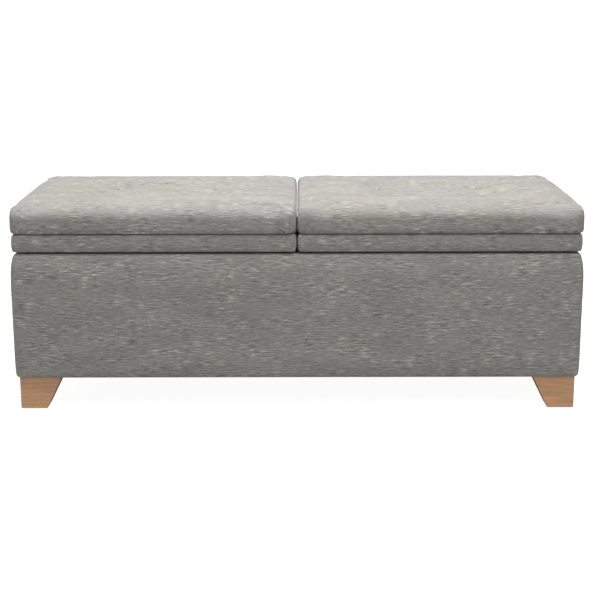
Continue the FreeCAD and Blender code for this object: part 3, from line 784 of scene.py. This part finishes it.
# %% Say how the foam and the staples shape the wall
RIM_RECESS, RIM_REACH = 4.8 * MM, 17 * MM
BELLY, BELLY_TOP_REACH, BELLY_BOTTOM_REACH = 2.0 * MM, 20 * MM, 12 * MM
WIDE_WAVE, SMALL_WAVE, STAPLE_WAVE = 160 * MM, 50 * MM, 55 * MM
STAPLE_PULL, STAPLE_REACH = 0.8 * MM, 20 * MM
EDGE_BAND = 3 * MM


def belly(point, wall):
    """How far the cloth stands out of the flat wall at a point, from foam and staples."""
    top, bottom = wall
    on_end = abs(point.x) > box_high.x - EDGE_BAND
    along, limit = (point.y, box_high.y) if on_end else (point.x, box_high.x)
    fall, rise = max(top - point.z, 0), max(point.z - bottom, 0)
    upright = (1 - math.exp(-fall / BELLY_TOP_REACH)) * (1 - math.exp(-rise / BELLY_BOTTOM_REACH))
    level = 1 - abs(along / limit) ** 16
    swell = -RIM_RECESS * math.exp(-fall / RIM_REACH) + BELLY * upright * level
    swell += 0.7 * MM * upright * ripple(point, WIDE_WAVE, 3.1)
    swell += 0.25 * MM * ripple(point, SMALL_WAVE, 8.4)
    pull = math.exp(-rise / STAPLE_REACH) + 0.35 * math.exp(-fall / BELLY_BOTTOM_REACH)
    return swell + STAPLE_PULL * pull * ripple((along * 2.2, 0, 0), STAPLE_WAVE, 5.7)


print(f"wall's belly: {BELLY / MM:.1f} mm, and {RIM_RECESS / MM:.1f} mm back under the rim")


# %% Make the box's upholstery
def make_box():
    levels, wall = box_rings()
    rings = stack(levels, BOX_STEPS)
    for points, (limits, _, z) in zip(rings, levels):
        over_rim = z > wall[0] and limits[0][1] > box_high.x - TOP_ROUND - 1e-6
        if limits != outside and not over_rim:
            continue
        ahead = np.roll(points[:, :2], -1, axis=0) - np.roll(points[:, :2], 1, axis=0)
        normals = np.column_stack([ahead[:, 1], -ahead[:, 0]])
        normals /= np.linalg.norm(normals, axis=1)[:, None]
        outward = np.sign((points[:, :2] * normals).sum(axis=1))[:, None]
        for point, normal in zip(points, normals * outward):
            point[:2] += normal * belly(Vector(point), wall)
    mesh = join_rings("box_upholstery", rings, True)
    piece = new_piece("box_upholstery", mesh, "base", "upholstery")
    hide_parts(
        "base_cover", "front_padding", "back_padding", "left_padding", "right_padding"
    )
    return piece


box = make_box()
print(f"box upholstery: {len(box.data.polygons)} faces")

# %% [markdown]
# ## The lids' bands
#
# Under each cushion is a pine frame with the same cloth pulled round it. It has hardly any
# padding, so it stays crisp, with softly rounded edges. The cloth turns up inside the
# frame, as far as the lid's lining. It is the same kind of shape as the box, so it is
# drawn in the same way, as one closed profile. The inner part of that profile follows the
# rails' faces, and only the outer faces swell.


# %% Draw a band's profile
BAND_STEPS = (64, 50, 5)
BAND_ROUND, BAND_CORNER = 4.5 * MM, 6 * MM
BAND_TURN_IN = 15 * MM
BAND_SWELL, BAND_RIPPLE, BAND_WAVE = 2.4 * MM, 0.4 * MM, 70 * MM
OUTER_SHARE = 0.985


def band_levels(side):
    """The levels of a lid's band, from inside the frame, under it, up and back in."""
    low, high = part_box(f"{side}_lid_band_cover")
    rails = [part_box(f"{side}_lid_{name}_rail") for name in ("inner", "outer")]
    rail_x = sorted(corner.x for rail in rails for corner in rail)[1:3]
    front_rail, back_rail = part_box(f"{side}_lid_front_rail"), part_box(f"{side}_lid_back_rail")
    recess = (tuple(rail_x), (front_rail[1].y, back_rail[0].y))
    opening = inset(*recess, COVER)
    around = ((low.x, high.x), (low.y, high.y))
    lining_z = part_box(f"{side}_lid_lining")[0].z
    levels = [(opening, HEM_CORNER, z) for z in np.linspace(lining_z, low.z + HEM_ROUND, 4)]
    for out, z in arc((0, low.z + HEM_ROUND), (HEM_ROUND, low.z), 3, False):
        levels.append((inset(*opening, -out), HEM_CORNER + out, z))
    for share in (0.33, 0.67, 1):
        limits = between(inset(*opening, -HEM_ROUND), inset(*around, BAND_ROUND), share)
        levels.append((limits, UNDER_CORNER, low.z))
    for depth, z in arc((BAND_ROUND, low.z), (0, low.z + BAND_ROUND), 4, True):
        levels.append((inset(*around, depth), BAND_CORNER - depth, z))
    for z in np.linspace(low.z + BAND_ROUND, high.z - BAND_ROUND, 7)[1:]:
        levels.append((around, BAND_CORNER, z))
    for depth, z in arc((0, high.z - BAND_ROUND), (BAND_ROUND, high.z), 4, False):
        levels.append((inset(*around, depth), BAND_CORNER - depth, z))
    levels.append((inset(*around, BAND_TURN_IN), 1.5 * MM, high.z))
    return levels + [(recess, HEM_CORNER, high.z), (recess, HEM_CORNER, lining_z)]


print(f"band profile: {len(band_levels('left'))} levels")


# %% Make the bands
def make_band(side):
    low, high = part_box(f"{side}_lid_band_cover")
    rings = stack(band_levels(side), BAND_STEPS)
    middle = np.array([(low.x + high.x) / 2, 0])
    half = np.array([(high.x - low.x) / 2, high.y])
    for points in rings:
        for point in points:
            away = (point[:2] - middle) / half
            if max(abs(away)) > OUTER_SHARE:
                rise = 1 - (2 * (point[2] - low.z) / (high.z - low.z) - 1) ** 2
                waves = ripple(point, BAND_WAVE, 2.3 + middle[0])
                axis = int(abs(away[1]) > abs(away[0]))
                point[axis] += (BAND_SWELL * rise + BAND_RIPPLE * waves) * np.sign(away[axis])
    name = f"{side}_band_upholstery"
    piece = new_piece(name, join_rings(name, rings, True), f"{side}_lid", "upholstery")
    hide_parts(f"{side}_lid_band_cover")
    return piece


bands = {side: make_band(side) for side in SIDES}
print(f"bands: {sum(len(band.data.polygons) for band in bands.values())} faces")

# %% [markdown]
# ## The cushions
#
# Each cushion is a slab of foam under a fabric cover, and four buttons are drawn down
# through it with twine. Real cloth is what gives it its shape: it is held along the bottom
# edge and under the buttons, and the foam pushes it out everywhere else. A formula makes
# such dimples look stamped, so the cushion is simulated. It starts as a slightly lower
# slab with its buttons already pulled down, remeshed into even squares. Blender's Cloth,
# with pressure and no gravity, swells it while the held points stay where they are.
#
# Two things are corrected afterwards. A cap keeps the swelling modest. And a bare sheet of
# cloth draws its own edges in, which the foam of a real cushion doesn't allow, so inward
# moves near the edges are damped, and the middle of each side is filled out a little.


# %% Choose the cushion's numbers
CUSHION_TOP, CUSHION_CORNER, CUSHION_FOOT = 24 * MM, 16 * MM, 11 * MM
END_SHARE, FOOT_SHARE = 0.32, 0.7
OUTER_PROUD, FRONT_PROUD, BACK_PROUD = 1.5 * MM, 2.5 * MM, 0.5 * MM
CENTRE_GAP = 0.6 * MM
START_DROP = 3.5 * MM
VOXEL = 6 * MM
TUFT_HOLD, TUFT_SPREAD, TUFT_STEEPNESS = 10 * MM, 40 * MM, 1.6
HELD_HEIGHT = 4 * MM

SWELL_CAP = 9 * MM
SINK_SHARE, SINK_BAND = 0.08, 30 * MM
CLOTH_FRAMES = 20

END_FILL, SIDE_FILL, END_PUSH = 3.5 * MM, 1.0 * MM, 0.7
FILL_RISE = 25 * MM
RIPPLE_START = 8 * MM


def tufts(side):
    """The four button places of a cushion, as (x, y, z) of the button's underside."""
    points = places_of(frame["nodes"][f"{side}_tuft_buttons"].data)
    middle = points.mean(axis=0)
    places = []
    for right in (False, True):
        for back in (False, True):
            in_column = (points[:, 0] > middle[0]) == right
            in_row = (points[:, 1] > middle[1]) == back
            mine = points[in_column & in_row]
            low, high = mine.min(axis=0), mine.max(axis=0)
            places.append(Vector(((low[0] + high[0]) / 2, (low[1] + high[1]) / 2, low[2])))
    return places


columns = sorted({round(place.x, 3) for place in tufts("left")})
print(f"left cushion's buttons at x = {columns}")


# %% Draw the slab that the simulation starts from
def slab_mesh(side):
    """A closed slab with rounded edges, a little wider than the CAD cushion and lower."""
    low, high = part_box(f"{side}_cushion_cover")
    outer = max(abs(low.x), abs(high.x)) + OUTER_PROUD
    reach = sorted((SIDES[side] * CENTRE_GAP, SIDES[side] * outer))
    depth_y = (low.y - FRONT_PROUD, high.y + BACK_PROUD)
    top = high.z - START_DROP
    profile = [(CUSHION_FOOT, low.z)]
    profile += arc((CUSHION_FOOT, low.z), (0, low.z + CUSHION_FOOT), 4, True)
    profile += straight((0, low.z + CUSHION_FOOT), (0, top - CUSHION_TOP), 4)
    profile += arc((0, top - CUSHION_TOP), (CUSHION_TOP, top), 8, False)
    levels = []
    for depth, z in profile:
        on_end = depth * (END_SHARE if z > low.z + CUSHION_FOOT else FOOT_SHARE)
        limits = (reach[0] + on_end, reach[1] - on_end), (depth_y[0] + depth, depth_y[1] - depth)
        levels.append((limits, max(CUSHION_CORNER - depth * 0.5, 3 * MM), z))
    mesh = join_rings(f"{side}_slab", stack(levels, (40, 32, 5)), False)
    shape = bmesh.new()
    shape.from_mesh(mesh)
    close_openings(shape, [edge for edge in shape.edges if edge.is_boundary])
    shape.to_mesh(mesh)
    shape.free()
    return mesh


def cushion_slab(side):
    """The slab as an object, remeshed into even squares, with its buttons pulled down."""
    low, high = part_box(f"{side}_cushion_cover")
    top = high.z - START_DROP
    slab = bpy.data.objects.new(f"{side}_slab", slab_mesh(side))
    scene.collection.objects.link(slab)
    bpy.context.view_layer.objects.active = slab
    slab.data.remesh_voxel_size = VOXEL
    bpy.ops.object.voxel_remesh()
    points = places_of(slab.data)
    for place in tufts(side):
        away = np.linalg.norm(points[:, :2] - np.array(place.xy), axis=1)
        beyond = (away - TUFT_HOLD) / TUFT_SPREAD
        pull = np.where(away < TUFT_HOLD, 1, np.exp(-TUFT_STEEPNESS * beyond ** 2))
        near = points[:, 2] > low.z + 0.6 * (top - low.z)
        points[near, 2] = np.minimum(points[near, 2], (top - (top - place.z) * pull)[near])
    put_places(slab.data, points)
    return slab


print("slab tools ready")


# %% Swell it with the Cloth simulation
def hold(slab, side):
    """The vertex group that pins the cloth at its bottom edge and under its buttons."""
    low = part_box(f"{side}_cushion_cover")[0]
    group = slab.vertex_groups.new(name="held")
    places = tufts(side)
    for vertex in slab.data.vertices:
        at_foot = vertex.co.z < low.z + HELD_HEIGHT
        at_button = any(
            (vertex.co.xy - place.xy).length < TUFT_HOLD and vertex.co.z < place.z + HELD_HEIGHT
            for place in places
        )
        if at_foot or at_button:
            group.add([vertex.index], 1.0, "REPLACE")
    return group.name


def run_cloth(slab, side):
    """Runs the cloth on the slab and returns where its vertices end. The modifier goes."""
    cloth = slab.modifiers.new("swell", "CLOTH")
    settings = cloth.settings
    settings.quality = 6
    settings.mass = 0.25
    settings.tension_stiffness = settings.compression_stiffness = 12
    settings.shear_stiffness = 4
    settings.bending_stiffness = 0.6
    settings.use_pressure = True
    settings.uniform_pressure_force = 4.5
    settings.vertex_group_mass = hold(slab, side)
    settings.effector_weights.gravity = 0
    cloth.collision_settings.use_collision = False
    cloth.point_cache.frame_start, cloth.point_cache.frame_end = 1, CLOTH_FRAMES
    for number in range(1, CLOTH_FRAMES + 1):
        scene.frame_set(number)
    end = places_of(slab.evaluated_get(bpy.context.evaluated_depsgraph_get()).data)
    slab.modifiers.remove(cloth)
    scene.frame_set(1)
    return end


def swell(slab, side):
    """Where the swollen slab's vertices are: damped inwards near its edges, and capped."""
    start = places_of(slab.data)
    move = run_cloth(slab, side) - start
    middle = (start.min(axis=0) + start.max(axis=0)) / 2
    half = (start.max(axis=0) - start.min(axis=0)) / 2
    side_on = np.clip((np.abs(start - middle) - half + SINK_BAND) / SINK_BAND, 0, 1)
    inward = move * np.sign(start - middle) < 0
    inward[start[:, 2] < middle[2], 2] = False
    move = np.where(inward, move * (1 - (1 - SINK_SHARE) * side_on), move)
    length = np.linalg.norm(move, axis=1)
    soft = SWELL_CAP * np.tanh(length / SWELL_CAP)
    return start + move * (soft / np.maximum(length, 1e-9))[:, None]


print(f"cloth: {CLOTH_FRAMES} frames, cap {SWELL_CAP / MM:.0f} mm")


# %% Fill out the cushion's sides, and lay its cloth
def fill_out(points, side):
    """Raises the middle of each side, keeps clear of the other cushion, and adds ripples."""
    low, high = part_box(f"{side}_cushion_cover")
    out, middle, half = SIDES[side], (low + high) / 2, (high - low) / 2
    at_end = np.clip((np.abs(points[:, 0] - middle.x) / half.x - 0.84) / 0.14, 0, 1)
    at_side = np.clip((np.abs(points[:, 1]) / half.y - 0.8) / 0.18, 0, 1)
    upper = np.clip((points[:, 2] - low.z - FILL_RISE) / FILL_RISE, 0, 1)
    mid_end = at_end * (1 - np.abs(points[:, 1] / half.y) ** 6) * upper
    mid_side = at_side * (1 - np.abs((points[:, 0] - middle.x) / half.x) ** 6) * upper
    points[:, 2] += END_FILL * np.maximum(mid_end, 0) + SIDE_FILL * np.maximum(mid_side, 0)
    push = END_PUSH * END_FILL * np.maximum(mid_end, 0)
    points[:, 0] += push * np.sign(points[:, 0] - middle.x)
    points[:, 0] = out * np.maximum(out * points[:, 0], CENTRE_GAP)
    points[:, 2] = np.maximum(points[:, 2], low.z)
    for index, point in enumerate(points):
        if point[2] > low.z + RIPPLE_START:
            points[index, 2] += 0.5 * MM * ripple(point, 0.09, 6.2)
            points[index, 1] += 0.6 * MM * ripple(point, 0.07, 1.2)


def fold_out(points, top):
    """Cloth coordinates of a pulled-over cover: flat on top, and on down its sides."""
    middle = (points.min(axis=0) + points.max(axis=0)) / 2
    half = (points.max(axis=0) - points.min(axis=0)) / 2
    away = (points[:, :2] - middle[:2]) / half[:2]
    fall = np.maximum(top - points[:, 2], 0)
    edge = np.abs(away) ** 24
    share = edge / np.maximum(edge.sum(axis=1), 1e-9)[:, None]
    near = np.clip((np.abs(away).max(axis=1) - 0.75) / 0.1, 0, 1)
    return points[:, :2] + np.sign(away) * (fall * near)[:, None] * share


print("finishing tools ready")


# %% Make the cushions
def make_cushion(side):
    slab = cushion_slab(side)
    put_places(slab.data, swell(slab, side))
    points = places_of(slab.data)
    fill_out(points, side)
    put_places(slab.data, points)
    slab.data.update()
    slab.vertex_groups.clear()
    bpy.context.view_layer.objects.active = slab
    finer = slab.modifiers.new("finer", "SUBSURF")
    finer.levels = finer.render_levels = 1
    mesh = settle(slab, f"{side}_cushion")
    points = places_of(mesh)
    corners = np.array([loop.vertex_index for loop in mesh.loops])
    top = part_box(f"{side}_cushion_cover")[1].z
    lay_cloth(mesh, fold_out(points, top)[corners])
    piece = new_piece(f"{side}_cushion", mesh, f"{side}_lid", "upholstery")
    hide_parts(f"{side}_cushion_cover", f"{side}_cushion_foam")
    print(f"{side} cushion: {len(mesh.polygons)} faces, top at {points[:, 2].max():.4f}")


for side in SIDES:
    make_cushion(side)

# %% [markdown]
# ## The buttons
#
# A covered button is a metal cap with cloth stretched over it, and the cloth is gathered
# behind its rim. A squashed sphere would do from afar, but it has no rim to catch the
# light. So the button is drawn like a turned pot: rings of changing radius, from under its
# rim up to the middle of its crown, with a slight wave where the cloth is gathered.


# %% Make the buttons
BUTTON_RADIUS = 9.5 * MM
BUTTON_SIDES = 28
GATHER, GATHERS = 0.015, 9


def button_rings(place, radius, height):
    """Rings of one covered button, from under its rim up to its crown."""
    profile = [(0.05, 0.02), (0.8, 0.0), (0.95, 0.12), (1.0, 0.3), (0.97, 0.5)]
    crown = np.radians((28, 45, 60, 73, 84, 88.5))
    profile += [(math.cos(angle), 0.5 + 0.5 * math.sin(angle)) for angle in crown]
    turn = 2 * math.pi * np.arange(BUTTON_SIDES) / BUTTON_SIDES
    rings = []
    for across, up in profile:
        gather = 1 + GATHER * np.sin(GATHERS * turn) * (up < 0.4)
        x = place.x + radius * across * gather * np.cos(turn)
        y = place.y + radius * across * gather * np.sin(turn)
        rings.append(np.column_stack([x, y, np.full(BUTTON_SIDES, place.z + height * up)]))
    return rings


def make_buttons(side):
    low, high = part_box(f"{side}_tuft_buttons")
    shape = bmesh.new()
    for place in tufts(side):
        mesh = join_rings("button", button_rings(place, BUTTON_RADIUS, high.z - low.z), False)
        shape.from_mesh(mesh)
        bpy.data.meshes.remove(mesh)
    close_openings(shape, [edge for edge in shape.edges if edge.is_boundary])
    mesh = bpy.data.meshes.new(f"{side}_buttons")
    shape.to_mesh(mesh)
    shape.free()
    lay_cloth(mesh, [tuple(mesh.vertices[loop.vertex_index].co.xy) for loop in mesh.loops])
    piece = new_piece(f"{side}_buttons", mesh, f"{side}_lid", "upholstery")
    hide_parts(f"{side}_tuft_buttons")


for side in SIDES:
    make_buttons(side)
print("buttons: four on each cushion")

# %% [markdown]
# ## The linings and the dust cover
#
# Each bin is lined with black bonded cloth, fixed to its floor and walls and a little
# loose between. A flat piece of the same cloth closes the underside of each lid, and
# another bonded cloth, the dust cover, closes the bottom of the bench. Every one of them is
# a sheet with real thickness. A single face would vanish when seen edge on, so the face is
# drawn first, and the Solidify modifier gives it a back.


# %% Give a drawn face its thickness
CLOTH_THICK = 0.8 * MM


def thicken(mesh, name, body, slot, towards):
    """A riding sheet made from a face mesh. Its back is on the side that the face's normal
    points to where towards is 1, and on the other side where it is -1."""
    draft = bpy.data.objects.new(name, mesh)
    scene.collection.objects.link(draft)
    solid = draft.modifiers.new("thickness", "SOLIDIFY")
    solid.thickness = CLOTH_THICK
    solid.offset = towards
    return new_piece(name, settle(draft, name), body, slot)


print(f"sheets are {CLOTH_THICK / MM} mm thick")


# %% Draw a bin's lining
LINING_STEPS, LINING_CORNER = (56, 44, 4), 8 * MM
LINING_FOLD = 9 * MM
LOOSE, LOOSE_WAVE, CREASE, CREASE_WAVE = 1.2 * MM, 110 * MM, 0.5 * MM, 35 * MM
LOOSE_FROM = 30 * MM


def lining_face(side):
    """The face of a bin's lining: down its walls and over its floor to the middle."""
    low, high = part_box(f"{side}_bin_lining")
    limits = inset((low.x, high.x), (low.y, high.y), CLOTH_THICK)
    ground = low.z + CLOTH_THICK
    fold = LINING_FOLD
    levels = [(limits, LINING_CORNER, z) for z in np.linspace(high.z, ground + fold, 14)]
    for depth, z in arc((0, ground + fold), (fold, ground), 4, False):
        levels.append((inset(*limits, depth), LINING_CORNER, z))
    deepest = (limits[1][1] - limits[1][0]) / 2 - 6 * MM
    for depth in np.linspace(fold, deepest, 18)[1:]:
        levels.append((inset(*limits, depth), LINING_CORNER, ground))
    rings = stack(levels, LINING_STEPS)
    middle = np.array([(low.x + high.x) / 2, (low.y + high.y) / 2])
    half = np.array([(high.x - low.x) / 2, (high.y - low.y) / 2])
    for points in rings:
        for point in points:
            loose = LOOSE * (0.6 + ripple(point, LOOSE_WAVE, 4.4))
            loose += CREASE * ripple(point, CREASE_WAVE, 1.9)
            loose = max(loose, 0) * min((high.z - point[2]) / LOOSE_FROM, 1)
            if point[2] > ground + 2 * MM:
                away = (point[:2] - middle) / half
                axis = int(abs(away[1]) > abs(away[0]))
                point[axis] -= loose * np.sign(away[axis])
            else:
                point[2] += loose
    face = join_rings("draft", rings, False)
    shape = bmesh.new()
    shape.from_mesh(face)
    close_openings(shape, [
        edge for edge in shape.edges
        if edge.is_boundary and edge.verts[0].co.z < ground + 20 * MM
    ])
    shape.to_mesh(face)
    shape.free()
    return face


print("lining tools ready")


# %% Line the bins
def make_bin_lining(side):
    face = lining_face(side)
    faces_up = face.polygons[len(face.polygons) - 1].normal.z > 0
    piece = thicken(face, f"{side}_bin_cloth", "base", "lining_cloth", -1 if faces_up else 1)
    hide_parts(f"{side}_bin_lining")


for side in SIDES:
    make_bin_lining(side)
print("bins lined")


# %% Draw flat sheets
def flat_sheet(name, limits, z, steps, sag):
    """A flat face at a height, whose points hang lower by what sag(x, y) says."""
    xs, ys = (np.linspace(*span, count + 1) for span, count in zip(limits, steps))
    points = [(x, y, z - sag(x, y)) for y in ys for x in xs]
    row = steps[0] + 1
    faces = [
        (j * row + i, j * row + i + 1, (j + 1) * row + i + 1, (j + 1) * row + i)
        for j in range(steps[1]) for i in range(steps[0])
    ]
    mesh = bpy.data.meshes.new(name)
    mesh.from_pydata(points, [], faces)
    return mesh


def edge_fade(x, y, limits, width):
    """0 at the edge of a rectangle, rising smoothly to 1 at a width inside it."""
    near = min(x - limits[0][0], limits[0][1] - x, y - limits[1][0], limits[1][1] - y)
    share = min(max(near / width, 0), 1)
    return share * share * (3 - 2 * share)


print("flat sheets ready")


# %% Close the lids and the bench's underside
LID_FADE, DUST_FADE = 60 * MM, 90 * MM
LEG_FADE, LEG_CLEAR = 50 * MM, (20 * MM, 130 * MM)


def make_lid_lining(side):
    low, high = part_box(f"{side}_lid_lining")
    limits = ((low.x, high.x), (low.y, high.y))

    def sag(x, y):
        return edge_fade(x, y, limits, LID_FADE) * (1.2 + ripple((x, y, 0), 0.12, 7.3)) * MM

    mesh = flat_sheet(f"{side}_lid_cloth", limits, high.z - CLOTH_THICK, (72, 56), sag)
    piece = thicken(mesh, f"{side}_lid_cloth", f"{side}_lid", "lining_cloth", 1)
    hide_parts(f"{side}_lid_lining")


def make_dust_cover():
    low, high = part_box("dust_cover")
    limits = ((low.x, high.x), (low.y, high.y))
    leg_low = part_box("front_right_leg")[0]

    def sag(x, y):
        inside_x, inside_y = leg_low.x - LEG_CLEAR[0] - abs(x), LEG_CLEAR[1] - abs(y)
        off_legs = max(inside_x / LEG_FADE, inside_y / LEG_FADE, 0)
        loose = edge_fade(x, y, limits, DUST_FADE) * min(off_legs, 1)
        return loose * (2.6 + 1.6 * ripple((x, y, 0), 0.16, 2.8)) * MM

    mesh = flat_sheet("dust_cover_cloth", limits, high.z - CLOTH_THICK, (120, 60), sag)
    piece = thicken(mesh, "dust_cover_cloth", "base", "dust_cloth", 1)
    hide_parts("dust_cover")


for side in SIDES:
    make_lid_lining(side)
make_dust_cover()
print("lids and underside closed")

# %% [markdown]
# ## The staples
#
# Cloth is fixed to wood with staples. They show under the bench, all round the dust cover,
# and inside the lids, round the lining. A staple's crown is a flat wire about 10 mm long
# whose ends turn into the wood. One function draws it, and each line of staples calls it
# again with a slightly different place and turn, as a hand-held gun leaves them.


# %% Draw the staples
STAPLE_LONG, STAPLE_WIDE, STAPLE_THICK = 10 * MM, 1.2 * MM, 0.6 * MM
# The wire's section, as shares of its width and thickness.
STAPLE_SECTION = ((-0.5, 0.15), (-0.35, 0.5), (0.35, 0.5), (0.5, 0.15), (0.35, -0.2), (-0.35, -0.2))
STRAY, STRAY_TURN = 1.5 * MM, 0.25


def add_staple(shape, place, turn, up):
    """Adds one staple to a bmesh: its crown on the cloth, its bent ends sunk in it. up is 1
    where it is seen from above, and -1 from below."""
    half, lift = STAPLE_LONG / 2, STAPLE_THICK
    path = [(-half, -1.0), (-half + 0.25 * MM, 0.1), (-half + 0.9 * MM, 0.7)]
    path += [(-x, z) for x, z in reversed(path)]
    rows = []
    for along, height in path:
        row = []
        for side_share, top_share in STAPLE_SECTION:
            across = side_share * STAPLE_WIDE
            level = (height + top_share) * lift
            x = along * math.cos(turn) - across * math.sin(turn)
            y = along * math.sin(turn) + across * math.cos(turn)
            row.append(shape.verts.new((place[0] + x, place[1] + y, place[2] + up * level)))
        rows.append(row)
    for first, second in zip(rows, rows[1:]):
        for i in range(len(STAPLE_SECTION)):
            j = (i + 1) % len(STAPLE_SECTION)
            shape.faces.new((first[i], first[j], second[j], second[i]))
    shape.faces.new(rows[0])
    shape.faces.new(rows[-1][::-1])


def staple_line(limits, margin, spacing):
    """Staple places round a rectangle, each a little out of line, as (x, y, turn)."""
    (x0, x1), (y0, y1) = inset(*limits, margin)
    sides = [(y0, x0, x1, False), (y1, x0, x1, False), (x0, y0, y1, True), (x1, y0, y1, True)]
    places = []
    for fixed, start, end, upright in sides:
        count = round((end - start) / spacing)
        for step in range(count):
            along = start + (step + 0.5) / count * (end - start)
            stray = noise.noise(Vector((along * 37, fixed * 11, 4.2)))
            beside = fixed + stray * STRAY
            spot = (beside, along) if upright else (along, beside)
            places.append((*spot, math.pi / 2 * upright + STRAY_TURN * stray))
    return places


print(f"a staple: {STAPLE_LONG / MM:.0f} mm long")


# %% Drive the staples
def make_staples(name, node, body, margin, spacing):
    """A piece of staples round the underside of a node, margin inside its edge."""
    low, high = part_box(node)
    shape = bmesh.new()
    for x, y, turn in staple_line(((low.x, high.x), (low.y, high.y)), margin, spacing):
        add_staple(shape, (x, y, low.z), turn, -1)
    bmesh.ops.recalc_face_normals(shape, faces=shape.faces)
    mesh = bpy.data.meshes.new(name)
    shape.to_mesh(mesh)
    shape.free()
    new_piece(name, mesh, body, "zinc_steel")
    print(f"{name}: {len(mesh.polygons)} faces")


make_staples("dust_cover_staples", "dust_cover", "base", margin=7 * MM, spacing=62 * MM)
for side in SIDES:
    lid = f"{side}_lid"
    make_staples(f"{lid}_staples", f"{lid}_lining", lid, margin=8 * MM, spacing=48 * MM)

# %% [markdown]
# ## The floor
#
# A catalogue's floor is lit until it is white. Light enough for that would burn out the
# seat as well. So the floor is mid-grey to every lamp, and adds a glow that only the camera
# sees: the bench gets no light from the glow, and its shadow stays faint. The floor reaches
# far out, so that its edge is near the horizon. From very low down the surround still shows
# above it.

# %% Lay the floor
REACH = 95.0
FLOOR_GLOW = 0.95

floor_mesh = bpy.data.meshes.new("floor")
corners = [(-REACH, -REACH, 0), (REACH, -REACH, 0), (REACH, REACH, 0), (-REACH, REACH, 0)]
floor_mesh.from_pydata(corners, [], [(0, 1, 2, 3)])
floor = bpy.data.objects.new("floor", floor_mesh)
scene.collection.objects.link(floor)
floor_material, tree, shader = new_material("studio_floor", roughness=0.8)
shader.inputs["Emission Color"].default_value = (1, 1, 1, 1)
haze = speckle(tree, stretch(tree, object_place(tree), (2, 2, 2)), detail=3)
shade = blend(tree, haze, (0.4, 0.4, 0.4, 1), (0.44, 0.44, 0.435, 1))
tree.links.new(shade, shader.inputs["Base Color"])
ray = tree.nodes.new("ShaderNodeLightPath")
glow = calc(tree, "MULTIPLY", ray.outputs["Is Camera Ray"], FLOOR_GLOW)
tree.links.new(glow, shader.inputs["Emission Strength"])
floor_mesh.materials.append(floor_material)
print(f"floor: {2 * REACH:.0f} m across")
